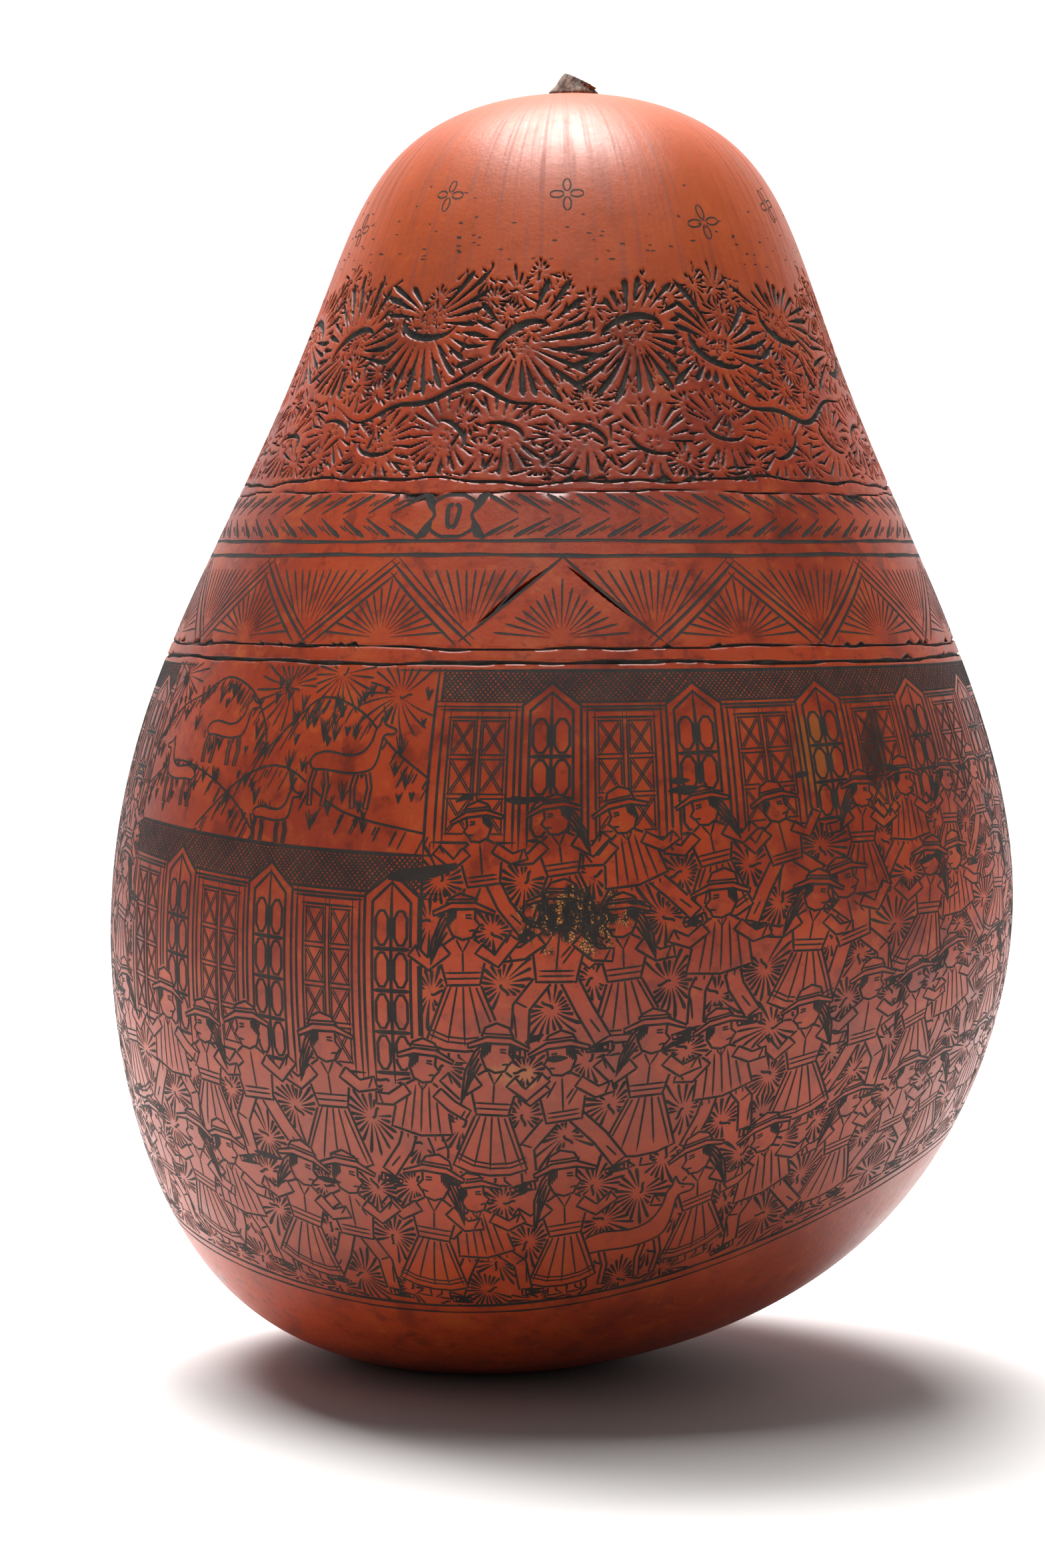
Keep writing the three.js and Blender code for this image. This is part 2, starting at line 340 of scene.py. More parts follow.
crown_sheet = Sheet(24.0, 16.0, 19.0)
relief_sheet = Sheet(29.5, RELIEF_TOP, RELIEF_BOTTOM - RELIEF_TOP)
garland_sheet = Sheet(36.4, 58.0, 10.0)
zigzag_sheet = Sheet(40.2, 67.0, 13.5)
frieze = Sheet(FIGURE_SHEET_RADIUS, FRIEZE_TOP, FRIEZE_HEIGHT, frieze_foot)
base_sheet = Sheet(42.0, FRIEZE_TOP, FRIEZE_HEIGHT + 3.0, lambda angle: frieze_foot(angle) + 3.0)


# ---------------------------------------------------------------- border lines

def wavy_round(sheet, y, width, wobble=0.12, seed=0):
    """A hand-cut line all the way round, a little unsteady in height and width."""
    x = np.linspace(-sheet.width / 2, sheet.width / 2, 421)
    turn = x / sheet.radius
    phase = seed * 1.7
    sway = np.sin(5 * turn + phase) + 0.6 * np.sin(13 * turn + 2 * phase) + 0.4 * np.sin(31 * turn - phase)
    swell = 1 + 0.18 * np.sin(17 * turn + 3 * phase) + 0.12 * np.sin(47 * turn + phase)
    sheet.stroke(np.stack([x, y + wobble * sway / 2], -1), width * swell, clip=False)


def border_lines():
    wavy_round(garland_sheet, 7.75, 0.17, 0.12, 3)
    wavy_round(garland_sheet, 9.3, 0.2, 0.12, 4)
    wavy_round(base_sheet, FRIEZE_HEIGHT + 0.1, 0.2, 0.1, 7)
    wavy_round(base_sheet, FRIEZE_HEIGHT + 1.25, 0.13, 0.1, 8)


# ---------------------------------------------------------------- crown flowers

def petal(sheet, x, y, heading, length, width):
    """One outlined petal, springing from x, y towards the heading."""
    across = np.linspace(0, math.pi, 7)
    along = (1 - np.cos(across)) / 2 * length + 0.35
    bulge = np.sin(across) * width
    for side in (-1, 1):
        px = x + along * math.cos(heading) - side * bulge * math.sin(heading)
        py = y + along * math.sin(heading) + side * bulge * math.cos(heading)
        sheet.line(np.stack([px, py], -1), 0.085)


FLOWERS = 11
PECKS = 420


def crown_flowers():
    """Four-petalled flowers in a loose ring, and short pecks between them."""
    sheet = crown_sheet
    for i in range(FLOWERS):
        x = (i - 5) * sheet.width / FLOWERS + rng.uniform(-1.2, 1.2)
        y = 12.0 + 2.0 * math.cos(2.1 * i) + rng.uniform(-0.6, 0.6)
        turn = rng.uniform(-0.3, 0.3)
        for k in range(4):
            petal(sheet, x, y, turn + k * math.pi / 2, rng.uniform(1.3, 1.8), 0.42)
    for _ in range(PECKS):
        x = rng.uniform(-0.5, 0.5) * sheet.width
        y = 19.2 - abs(rng.gauss(0, 3.6))
        size = rng.uniform(0.15, 0.55)
        if y > 7:
            sheet.line([(x, y), (x + size, y + rng.uniform(-0.08, 0.08))], rng.uniform(0.04, 0.1))


# ---------------------------------------------------------------- garland and zigzag

def garland():
    """Pairs of pointed leaves that run away from a bud on either side."""
    sheet = garland_sheet
    middle, reach = 4.95, 2.35
    bud = -18.7 / 360 * sheet.width
    pitch = 3.05
    steps = int(sheet.width / pitch / 2)
    for side in (-1, 1):
        for i in range(1, steps):
            x = bud + side * (i * pitch + 0.9)
            for half in (-1, 1):
                lean = rng.uniform(-0.15, 0.15)
                tip = (x + side * (2.9 + lean), middle + half * 0.25)
                root = (x - side * 0.5, middle + half * reach)
                arc = curve([root, (x + side * 0.9, middle + half * 1.5), tip])
                widths = np.interp(np.linspace(0, 1, len(arc)), [0, 0.3, 1], [0.12, 0.26, 0.06])
                sheet.stroke(arc, widths)
                inner = arc[2:-3] + np.array([side * 0.75, half * 0.1])
                sheet.line(inner, 0.07)
                vein = [(x + side * 1.9, middle + half * 1.7), (x + side * 2.9, middle + half * 1.1)]
                sheet.line(vein, 0.07)
    for side in (-1, 1):
        lobe = [(0, -2.3), (1.1, -2.2), (2.3, -1.3), (2.0, 0.0), (2.5, 1.1), (1.2, 2.2), (0, 2.3)]
        sheet.stroke(curve([(bud + side * x, middle + y) for x, y in lobe]), 0.18)
        for half in (-1, 1):
            corner = [(3.6, 2.5), (2.9, 2.0), (2.5, 1.2), (2.2, 0.4)]
            sheet.stroke([(bud + side * x, middle + half * y) for x, y in corner], [0.15, 0.5, 0.45, 0.1])
        seed = [(0.1, -1.3), (0.6, -0.9), (0.55, 0.2), (0.35, 1.1), (0.0, 1.3)]
        sheet.stroke(curve([(bud + side * x, middle + y) for x, y in seed]), [0.1, *[0.24] * 19, 0.1])


def ray(sheet, x, y, heading, start, stop, width, bend=0.0):
    """A wedge cut that starts as a point near x, y and widens outwards to a blunt end."""
    if stop - start < 0.5:
        return
    share = np.array([0.0, 0.3, 0.6, 0.88, 1.0])
    along = start + (stop - start) * share
    turned = heading + bend * along
    points = np.stack([x + along * np.cos(turned), y + along * np.sin(turned)], -1)
    sheet.stroke(points, width * np.array([0.12, 0.55, 0.85, 1.0, 0.4]))


ZIGZAGS = 14
APEX_X = -0.6   # of the triangle with the slits


def zigzag():
    """Double zigzag lines with rays that open in the triangles above and below them."""
    sheet = zigzag_sheet
    pitch = sheet.width / ZIGZAGS
    top, bottom = 1.4, 9.6
    tall, wide = bottom - top - 1.6, pitch / 2 - 1.6   # of the room for rays under an apex
    for k in range(-(ZIGZAGS // 2), ZIGZAGS - ZIGZAGS // 2):
        apex = APEX_X + k * pitch
        for side in (-1, 1):
            foot = apex + side * pitch / 2
            along = np.array([foot - apex, bottom - top])
            normal = np.array([along[1], -along[0]]) / np.hypot(*along) * side
            up, down = np.array([apex, top]), np.array([foot, bottom])
            has_slit = k == 0
            if not has_slit:
                sheet.line([up, down], 0.17)
            inner_up = up + np.array([0, 1.15])
            inner_down = down - np.array([side * 1.5, 0])
            if has_slit:
                outer = normal * 0.95
                sheet.line([up + outer + np.array([-side * 0.6, -0.2]), down + outer * 0.6], 0.15)
            else:
                sheet.line([inner_up, inner_down], 0.15)
            outer = normal * 0.75
            sheet.line([up + outer, down + outer * 0.5 - np.array([0, 0.35])], 0.09)
        rays = 17
        for i in range(rays):
            heading = -math.pi * (i + 0.5) / rays
            reach = tall * wide / (tall * abs(math.cos(heading)) + wide * abs(math.sin(heading)))
            ray(sheet, apex, bottom - 0.35, heading, 1.15 + 0.5 * (i % 2), reach - 0.2, 0.12)
        valley = apex + pitch / 2
        spread = math.atan2(pitch / 2 - 1.2, bottom - top)
        rays = 11
        for i in range(rays):
            lean = spread * (2 * (i + 0.5) / rays - 1) * 0.93
            heading = -math.pi / 2 + lean
            reach = (bottom - top - 0.5) / math.cos(lean)
            ray(sheet, valley, bottom, heading, 2.2 + 0.9 * (i % 2), reach, 0.13)


# ---------------------------------------------------------------- the dancers

class Figure:
    """Draws parts given in shares of its height, front parts first, so that they hide the rest."""

    def __init__(self, sheet, x, feet, height, facing, lean=0.0):
        self.sheet = sheet
        self.origin = np.array([x, feet])
        self.height = height
        self.facing = facing
        self.turn = np.array([[math.cos(lean), -math.sin(lean)], [math.sin(lean), math.cos(lean)]])

    def at(self, points):
        points = np.asarray(points, dtype=float) @ self.turn
        return self.origin + points * np.array([self.facing, -1.0]) * self.height

    def line(self, points, width=0.1):
        self.sheet.line(self.at(points), width)

    def part(self, corners, lines=(), width=0.13, fill=False):
        """An outlined piece of the figure with its inner lines, which then hides what lies behind."""
        shape = self.at(corners)
        closed = np.concatenate([shape, shape[:1]])
        self.sheet.line(closed, width)
        if fill:
            middle = shape.mean(axis=0)
            for share in (0.3, 0.65):
                self.sheet.line(middle + (closed - middle) * share, width * 1.2)
        for inner in lines:
            self.line(inner)
        self.sheet.cover(middle_grown(shape, 0.12))

    def limb(self, joints, width, lines=()):
        """A band of one width along the joints."""
        joints = np.asarray(joints, dtype=float)
        ahead = np.gradient(joints, axis=0)
        ahead /= np.hypot(ahead[:, 0], ahead[:, 1])[:, None]
        side = np.stack([-ahead[:, 1], ahead[:, 0]], -1) * width / 2
        self.part(np.concatenate([joints + side, (joints - side)[::-1]]), lines)


def middle_grown(shape, margin):
    """The shape, a little larger about its middle, so that its own outline is covered too."""
    middle = shape.mean(axis=0)
    away = shape - middle
    size = np.maximum(np.hypot(away[:, 0], away[:, 1]), 0.3)[:, None]
    return middle + away * (1 + margin / size)


HEAD_SIZE = 1.32
NECK = np.array([0.0, 0.755])


def about_neck(points):
    """Head parts, enlarged about the neck: the heads are big for the bodies."""
    return NECK + (np.asarray(points, dtype=float) - NECK) * HEAD_SIZE


def hat(figure, tall):
    brim = [(-0.13, 0.865), (-0.05, 0.895), (0.06, 0.895), (0.145, 0.865),
            (0.15, 0.88), (0.06, 0.925), (-0.05, 0.925), (-0.135, 0.885)]
    figure.part(about_neck(brim))
    crown = [(-0.075, 0.92), (-0.06, 0.95 + tall), (-0.01, 0.975 + tall),
             (0.05, 0.955 + tall), (0.075, 0.92)]
    figure.part(about_neck(crown), [about_neck([(-0.07, 0.94), (0.07, 0.94)])])


def head(figure):
    """A plain profile with a dot for the eye and a short stroke for the mouth."""
    face = [(-0.06, 0.9), (-0.07, 0.83), (-0.045, 0.775), (0.0, 0.755), (0.045, 0.765),
            (0.055, 0.79), (0.08, 0.82), (0.058, 0.85), (0.062, 0.9)]
    hair = [[(-0.055 + 0.009 * k, 0.9), (-0.064 + 0.011 * k, 0.815 + 0.012 * k)] for k in range(4)]
    marks = [[(0.015, 0.857), (0.045, 0.852)], [(0.015, 0.868), (0.043, 0.868)],
             [(0.03, 0.795), (0.055, 0.8)]]
    figure.part(about_neck(face), [about_neck(line) for line in hair + marks])


def braid(figure, length):
    tail = [(-0.055, 0.9), (-0.1, 0.85), (-0.14, 0.75), (-0.15, 0.68 - length),
            (-0.115, 0.74 - length / 2), (-0.065, 0.8)]
    strands = [
        [(-0.06, 0.88), (-0.115, 0.79), (-0.14, 0.71 - length)],
        [(-0.065, 0.85), (-0.11, 0.76), (-0.135, 0.71 - length)],
        [(-0.07, 0.87), (-0.1, 0.81), (-0.13, 0.74)],
        [(-0.06, 0.86), (-0.085, 0.8), (-0.12, 0.74 - length / 2)],
    ]
    figure.part(about_neck(tail), [about_neck(line) for line in strands])


def arms(figure, near, far, width=0.078):
    """Both arms held out at the height given for each hand, ready to be joined."""
    near_cuff = [(0.26, near - 0.03), (0.29, near + 0.03)]
    far_cuff = [(-0.26, far - 0.04), (-0.29, far + 0.03)]
    figure.limb([(0.1, 0.7), (0.2, 0.62), (0.31, near)], width, [near_cuff])
    figure.limb([(-0.1, 0.7), (-0.21, 0.61), (-0.31, far)], width, [far_cuff])


def woman(figure):
    hat(figure, rng.uniform(-0.01, 0.02))
    head(figure)
    braid(figure, rng.uniform(0.0, 0.1))
    arms(figure, rng.uniform(0.6, 0.76), rng.uniform(0.58, 0.74))
    jacket = [(-0.1, 0.48), (-0.155, 0.7), (-0.06, 0.765), (0.06, 0.765), (0.15, 0.7), (0.1, 0.48)]
    figure.part(jacket, [
        [(-0.04, 0.76), (0.0, 0.68), (0.045, 0.76)], [(0.0, 0.68), (0.0, 0.56)],
        [(-0.11, 0.555), (0.11, 0.555)], [(-0.105, 0.52), (0.105, 0.52)],
    ])
    swing = rng.uniform(-0.05, 0.05)
    hem = [(-0.24 + swing, 0.13), (-0.13 + swing, 0.085), (0.0 + swing, 0.07),
           (0.13 + swing, 0.08), (0.24 + swing, 0.12)]
    skirt = [(-0.1, 0.49), *hem, (0.1, 0.49)]
    pleats = [[(-0.07 + 0.034 * k, 0.49), (-0.2 + 0.1 * k + swing, 0.16 - 0.02 * (k % 3))]
              for k in range(5)]
    if rng.random() < 0.6:
        pleats += [[(x * 0.93 + 0.01, y + 0.05) for x, y in hem],
                   [(x * 0.9 + 0.01, y + 0.08) for x, y in hem]]
    figure.part(skirt, pleats)
    for side in (-1, 1):
        x = side * 0.07 + swing
        figure.part([(x - 0.03, 0.1), (x - 0.035, 0.0), (x + 0.075, 0.0),
                     (x + 0.03, 0.035), (x + 0.02, 0.1)])


def legs(figure, stride):
    """A lunging pair of trousers with shoes."""
    front = [(0.05, 0.5), (0.13 + stride, 0.3), (0.13 + stride, 0.06)]
    back = [(-0.05, 0.5), (-0.1 - stride, 0.29), (-0.22 - stride, 0.09)]
    shoe = np.array([(-0.04, 0.065), (0.13, 0.03), (0.12, 0.0), (-0.045, 0.0)])
    figure.part(shoe + np.array([0.14 + stride, 0.0]), width=0.13, fill=True)
    figure.limb(front, 0.1, [[(0.1 + stride, 0.3), (0.16 + stride, 0.33)],
                             [(0.15 + stride, 0.12), (0.17 + stride, 0.26)]])
    figure.part(shoe * 0.9 + np.array([-0.24 - stride, 0.02]), width=0.13, fill=True)
    figure.limb(back, 0.1, [[(-0.14 - stride, 0.22), (-0.2 - stride, 0.14)]])


def poncho_man(figure):
    hat(figure, rng.uniform(0.0, 0.03))
    head(figure)
    arms(figure, rng.uniform(0.56, 0.74), rng.uniform(0.58, 0.74))
    poncho = [(-0.2, 0.43), (-0.155, 0.7), (-0.06, 0.765), (0.06, 0.765),
              (0.16, 0.7), (0.21, 0.42), (0.0, 0.39)]
    stripes = [[(-0.09 + 0.045 * k, 0.74 - 0.02 * abs(k - 2)), (-0.13 + 0.065 * k, 0.43)] for k in range(5)]
    figure.part(poncho, stripes + [[(-0.03, 0.76), (0.0, 0.7), (0.035, 0.76)]])
    for k in range(7):
        x = -0.14 + 0.047 * k
        figure.line([(x, 0.42), (x + 0.004, 0.365)], 0.08)
    legs(figure, rng.uniform(0.0, 0.12))


def jacket_man(figure):
    hat(figure, rng.uniform(-0.01, 0.03))
    head(figure)
    arms(figure, rng.uniform(0.55, 0.78), rng.uniform(0.5, 0.78))
    body = [(-0.11, 0.45), (-0.155, 0.7), (-0.06, 0.765), (0.06, 0.765), (0.155, 0.7), (0.115, 0.45)]
    lines = [[(-0.09, 0.515), (0.095, 0.515)], [(-0.09, 0.485), (0.095, 0.485)],
             [(0.0, 0.74), (0.005, 0.52)]]
    if rng.random() < 0.5:
        lines += [[(-0.1, 0.7), (-0.02, 0.6)], [(-0.095, 0.66), (-0.03, 0.56)],
                  [(0.04, 0.72), (0.1, 0.62)]]
    figure.part(body, lines)
    legs(figure, rng.uniform(0.02, 0.13))


def beast(figure):
    """A slim grazing animal with a raised neck."""
    outline = [(-0.57, 0.56), (-0.5, 0.66), (-0.3, 0.71), (0.0, 0.67), (0.2, 0.72), (0.31, 0.86),
               (0.35, 1.02), (0.4, 1.09), (0.42, 1.19), (0.48, 1.09), (0.63, 1.03), (0.61, 0.97),
               (0.48, 0.95), (0.45, 0.8), (0.42, 0.62), (0.33, 0.49), (0.05, 0.44), (-0.3, 0.47),
               (-0.5, 0.47), (-0.57, 0.56)]
    figure.part(curve(outline, 3)[:-1], [[(0.5, 1.04), (0.53, 1.04)]], width=0.12)
    for x, bend in ((0.3, 0.06), (0.17, -0.05), (-0.32, 0.06), (-0.46, -0.05)):
        figure.limb([(x, 0.5), (x + bend, 0.27), (x + bend / 2, 0.0)], 0.06)
    figure.line([(-0.56, 0.6), (-0.62, 0.5), (-0.6, 0.4)], 0.1)


# feet, height, first and last degrees round from the front, spacing
DANCER_ROWS = (
    (65.8, 16.4, -180, 180, 7.9),
    (51.8, 15.8, -180, 180, 7.8),
    (38.8, 16.2, -17, 292, 7.9),
    (27.6, 14.6, -14, 292, 7.4),
)


def dancers():
    """Four rows of dancers, with an animal in place of some in the lowest row."""
    kinds = (woman, poncho_man, woman, jacket_man)
    for row, (feet, height, first, last, spacing) in enumerate(DANCER_ROWS):
        start, stop = (math.radians(side) * frieze.radius for side in (first, last))
        count = int(round((stop - start) / spacing))
        for i in range(count):
            x = start + (i + 0.5) * (stop - start) / count + rng.uniform(-0.7, 0.7)
            size = height * rng.uniform(0.93, 1.04)
            ground = feet + rng.uniform(-0.5, 0.4)
            figure = Figure(frieze, x, ground, size, rng.choice((-1, 1)), rng.uniform(-0.2, 0.2))
            if row == 0 and i % 11 == 8:
                beast(Figure(frieze, x, feet, size * 0.62, 1))
            else:
                kinds[(i + row) % len(kinds)](figure)


# ---------------------------------------------------------------- houses

def rectangle(x0, y0, x1, y1):
    return [(x0, y0), (x1, y0), (x1, y1), (x0, y1), (x0, y0)]


def frame_lines(sheet, x0, y0, x1, y1, width=0.14):
    corners = rectangle(x0, y0, x1, y1)
    for a, b in zip(corners, corners[1:]):
        sheet.line([a, b], width)


def lattice_window(sheet, x0, y0, x1, y1, rows):
    """Two columns of panes with double crosses, in a double frame."""
    frame_lines(sheet, x0, y0, x1, y1)
    frame_lines(sheet, x0 + 0.75, y0 + 0.75, x1 - 0.75, y1, 0.12)
    middle = (x0 + x1) / 2
    for side in (-0.22, 0.22):
        sheet.line([(middle + side, y0 + 0.75), (middle + side, y1)], 0.1)
    pitch = (y1 - y0 - 1.5) / rows
    for row in range(rows):
        top = y0 + 1.5 + row * pitch - 0.4
        for left, right in ((x0 + 1.1, middle - 0.45), (middle + 0.45, x1 - 1.1)):
            frame_lines(sheet, left, top, right, top + pitch - 0.45, 0.09)
            for shift in (-0.13, 0.13):
                sheet.line([(left + shift, top), (right + shift, top + pitch - 0.45)], 0.075)
                sheet.line([(right + shift, top), (left + shift, top + pitch - 0.45)], 0.075)


def rounded(x0, y0, x1, y1):
    """A closed outline with rounded corners."""
    wide, tall = 0.3 * (x1 - x0), 0.22 * (y1 - y0)
    return [(x0 + wide, y0), (x1 - wide, y0), (x1, y0 + tall), (x1, y1 - tall), (x1 - wide, y1),
            (x0 + wide, y1), (x0, y1 - tall), (x0, y0 + tall), (x0 + wide, y0)]


def tower(sheet, x0, y0, x1, y1, rows):
    """A gabled double door with two columns of round-cornered panes, dark where they meet."""
    middle, gable = (x0 + x1) / 2, 2.3
    for inset in (0.0, 0.8):
        left, right = x0 + inset, x1 - inset
        sheet.line([(left, y1), (left, y0 + gable + 0.7 * inset), (middle, y0 + 1.2 * inset),
                    (right, y0 + gable + 0.7 * inset), (right, y1)], 0.15)
    sheet.line([(middle, y0 + 1.6), (middle, y1)], 0.17)
    pitch = (y1 - y0 - gable - 1.2) / rows
    for row in range(rows):
        top = y0 + gable + 1.4 + row * pitch
        for left, right in ((x0 + 1.15, middle - 0.32), (middle + 0.32, x1 - 1.15)):
            sheet.stroke(rounded(left, top, right, top + pitch - 0.75), 0.15)
        sheet.line([(x0 + 0.9, top + pitch - 0.37), (x1 - 0.9, top + pitch - 0.37)], 0.2)
    sheet.cover([(x0, y1), (x0, y0 + gable), (middle, y0), (x1, y0 + gable), (x1, y1)])


def crosshatch(sheet, corners, pitch=0.42, width=0.075):
    """Fine lines both ways inside a polygon, drawn only where nothing covers it."""
    corners = np.asarray(corners, dtype=float)
    stencil = Sheet(sheet.radius, sheet.top, sheet.height, sheet.foot)
    stencil.taken[:] = True
    hole = Sheet(sheet.radius, sheet.top, sheet.height, sheet.foot)
    hole.cover(corners)
    stencil.taken = ~hole.taken | sheet.taken
    (x0, y0), (x1, y1) = corners.min(axis=0), corners.max(axis=0)
    tall = y1 - y0
    for slant in (-1, 1):
        for start in np.arange(x0 - tall, x1 + tall, pitch):
            shift = rng.uniform(-0.08, 0.08)
            stencil.line([(start + shift, y0), (start + slant * tall * 0.9 + shift, y1)], width)
    sheet.strokes += stencil.strokes


HOUSE_BAY = 14.4   # width of one tower and one window


def house(x0, x1, y0, y1, roof, rows):
    """A hatched roof over alternating windows and towers, which run behind the dancers' heads."""
    count = max(1, int(round((x1 - x0) / HOUSE_BAY)))
    pitch = (x1 - x0) / count
    for i in range(count):
        left = x0 + i * pitch
        tower(frieze, left + 0.58 * pitch, y0 - 1.7, left + 0.985 * pitch, y1, rows)
        lattice_window(frieze, left + 0.4, y0 + 1.1, left + 0.54 * pitch, y1, rows)
    for shift in (0.25, 0.75):
        frieze.line([(x0, y0 + shift), (x1, y0 + shift)], 0.13)
    frieze.cover(rectangle(x0, y0 + 0.25, x1, y1))
    crosshatch(frieze, [(x0, roof), (x1, roof), (x1, y0 + 0.25), (x0, y0 + 0.25)], 0.5, 0.1)
    frieze.line([(x0, roof), (x1, roof)], 0.2)
    for side in (x0, x1):
        frieze.line([(side, roof), (side, y1)], 0.15)
    frieze.cover(rectangle(x0, roof, x1, y1))


# ---------------------------------------------------------------- the mountain

GRASS_TUFTS = 110


def grass(x, y, size):
    for k in range(5):
        lean = (k - 2) * 0.16
        frieze.line([(x, y), (x + lean * size, y - size * rng.uniform(0.7, 1.1))], 0.075)


def mountain(x0, x1, y0, y1):
    """Hills with slanting cuts, tufts of grass and grazing animals, in one wide panel."""
    def spot(across, down):
        return x0 + across * (x1 - x0), y0 + down * (y1 - y0)

    herd = ((0.36, 0.6, 6.6, 1), (0.17, 0.88, 6.2, -1), (0.78, 0.78, 7.8, 1), (0.58, 1.0, 4.8, 1))
    for across, down, size, facing in herd:
        beast(Figure(frieze, *spot(across, down), size, facing))
    ridges = (
        [(0.0, 0.5), (0.1, 0.28), (0.2, 0.18), (0.3, 0.06), (0.42, 0.14), (0.5, 0.34), (0.52, 0.5)],
        [(0.52, 0.5), (0.6, 0.3), (0.68, 0.16), (0.8, 0.24), (0.9, 0.44), (1.0, 0.6)],
        [(0.0, 0.8), (0.14, 0.62), (0.3, 0.66), (0.44, 0.8), (0.52, 0.96)],
        [(0.3, 0.98), (0.46, 0.66), (0.6, 0.58), (0.78, 0.8), (1.0, 0.9)],
    )
    for ridge in ridges:
        line = curve([spot(*place) for place in ridge], 4)
        frieze.line(line, 0.12)
        for x, y in line:
            for _ in range(2):
                size = rng.uniform(0.7, 2.3)
                px = x + rng.uniform(-0.6, 0.6)
                frieze.line([(px, y + 0.3), (px - size * 0.45, y + 0.3 + size)], rng.uniform(0.06, 0.13))
    for _ in range(GRASS_TUFTS):
        grass(rng.uniform(x0 + 0.6, x1 - 0.6), rng.uniform(y0 + 2.0, y1 - 0.6), rng.uniform(0.8, 2.2))
    bursts = [spot(*place) for place in ((0.56, 0.1), (0.9, 0.14), (0.72, 0.02), (0.06, 0.06))]
    spread_fans(frieze, np.array(bursts), 5.5, 0.13, 17, 0.7)
    for side in (x0, x1):
        frieze.line([(side, y0), (side, y1)], 0.16)
    frieze.cover(rectangle(x0, y0, x1, y1))


# ---------------------------------------------------------------- the fans between

def clearance(taken, limit):
    """Cells from each free cell to the nearest taken one, up to the limit."""
    depth = np.zeros(taken.shape, dtype=np.int16)
    free = ~taken
    for _ in range(limit):
        depth += free
        grown = free.copy()
        grown[1:] &= free[:-1]
        grown[:-1] &= free[1:]
        grown &= np.roll(free, 1, axis=1) & np.roll(free, -1, axis=1)
        grown[0] = grown[-1] = False
        free = grown
    return depth


def fan_centres(sheet, spacing, least):
    """The roomiest free places, kept apart by the spacing."""
    room = clearance(sheet.taken, 16)
    rows, columns = np.nonzero(room >= least)
    order = sorted(range(len(rows)), key=lambda i: (-room[rows[i], columns[i]] + 4 * rng.random()))
    centres = []
    for i in order[::3]:
        x = (columns[i] + 0.5) * sheet.CELL - sheet.width / 2
        y = rows[i] * sheet.CELL
        if all((x - a) ** 2 + (y - b) ** 2 > spacing ** 2 for a, b in centres):
            centres.append((x, y))
    return np.array(centres)


def cover_strokes(sheet):
    """Marks every stroke so far as covered, so that what is drawn next keeps off it."""
    for points, _ in sheet.strokes:
        for (x0, y0), (x1, y1) in zip(points, points[1:]):
            share = np.linspace(0, 1, int(math.hypot(x1 - x0, y1 - y0) / sheet.CELL) + 2)
            row, column = sheet.cells(x0 + share * (x1 - x0), y0 + share * (y1 - y0))
            sheet.taken[row, column] = True


def hook(sheet, x, y, size, heading, width):
    """A small pointed loop, like an eye, beside a fan's centre."""
    across = np.linspace(0.25, FULL_TURN - 0.5, 10)
    along = (1 - np.cos(across / 2)) * size
    bulge = 0.36 * size * np.sin(across)
    px = x + along * math.cos(heading) - bulge * math.sin(heading)
    py = y + along * math.sin(heading) + bulge * math.cos(heading)
    sheet.line(np.stack([px, py], -1), width)


def spread_fans(sheet, centres, longest, width, rays, start, shield=None):
    """Rays from each centre until they meet something covered or come nearer to another centre.
    The shield gives where a ray starts at a heading, for fans that open beyond a crescent."""
    for i, (x, y) in enumerate(centres):
        near = centres[np.hypot(*(centres - (x, y)).T) < 2.2 * longest]
        opening = rng.uniform(0, FULL_TURN)
        if shield is None:
            hook(sheet, x, y, 0.95 * start, opening, 0.8 * width)
        count = rays + rng.randrange(-1, 3)
        bend = rng.uniform(-0.3, 0.3)
        for k in range(count):
            heading = opening + 0.6 + (FULL_TURN - 1.2) * (k + rng.uniform(-0.12, 0.12)) / (count - 1)
            first = start * (1 + 0.35 * (k % 2)) if shield is None else shield(i, heading) + 0.4 * (k % 2)
            along = np.arange(0.6, longest * rng.uniform(0.85, 1.0), sheet.CELL)
            turned = heading + bend * along / longest
            px, py = x + along * np.cos(turned), y + along * np.sin(turned)
            away = np.hypot(px[:, None] - near[:, 0], py[:, None] - near[:, 1]).min(axis=1)
            stopped = sheet.covered(px, py) | (away < along - 0.25)
            stop = along[np.argmax(stopped)] if stopped.any() else along[-1]
            ray(sheet, x, y, heading, first, stop - 0.12, width * rng.uniform(0.8, 1.15), bend / longest)


BLOTS = 64


def blots():
    """Short heavy cuts, filled with soot, scattered among the dancers."""
    for _ in range(BLOTS):
        x = rng.uniform(-0.5, 0.5) * frieze.width
        y = rng.choice((12.5, 25.0, 37.5, 50.5)) + rng.uniform(-1.5, 1.5)
        if -58 < x < -13 and y < 38:
            continue
        length, tilt = rng.uniform(0.8, 2.0), rng.uniform(-0.5, 0.5)
        ends = [(x - length, y + tilt), (x - 0.3 * length, y),
                (x + 0.4 * length, y - 0.3 * tilt), (x + length, y - tilt)]
        size = rng.uniform(0.25, 0.5)
        frieze.stroke(ends, size * np.array([0.3, 1.0, 0.8, 0.2]), clip=False)
    gash = [(-17.0, 21.1), (-15.8, 20.8), (-12.5, 20.3), (-10.2, 19.7)]
    frieze.stroke(gash, [0.15, 0.62, 0.6, 0.3], clip=False)


LEFT_PANEL = (-54.0, -13.6)          # its two sides; it holds a mountain above a house
UPPER_HOUSE = (3.3, 17.5, 0.35, 3)   # top and bottom of the walls, top of the roof, rows of panes


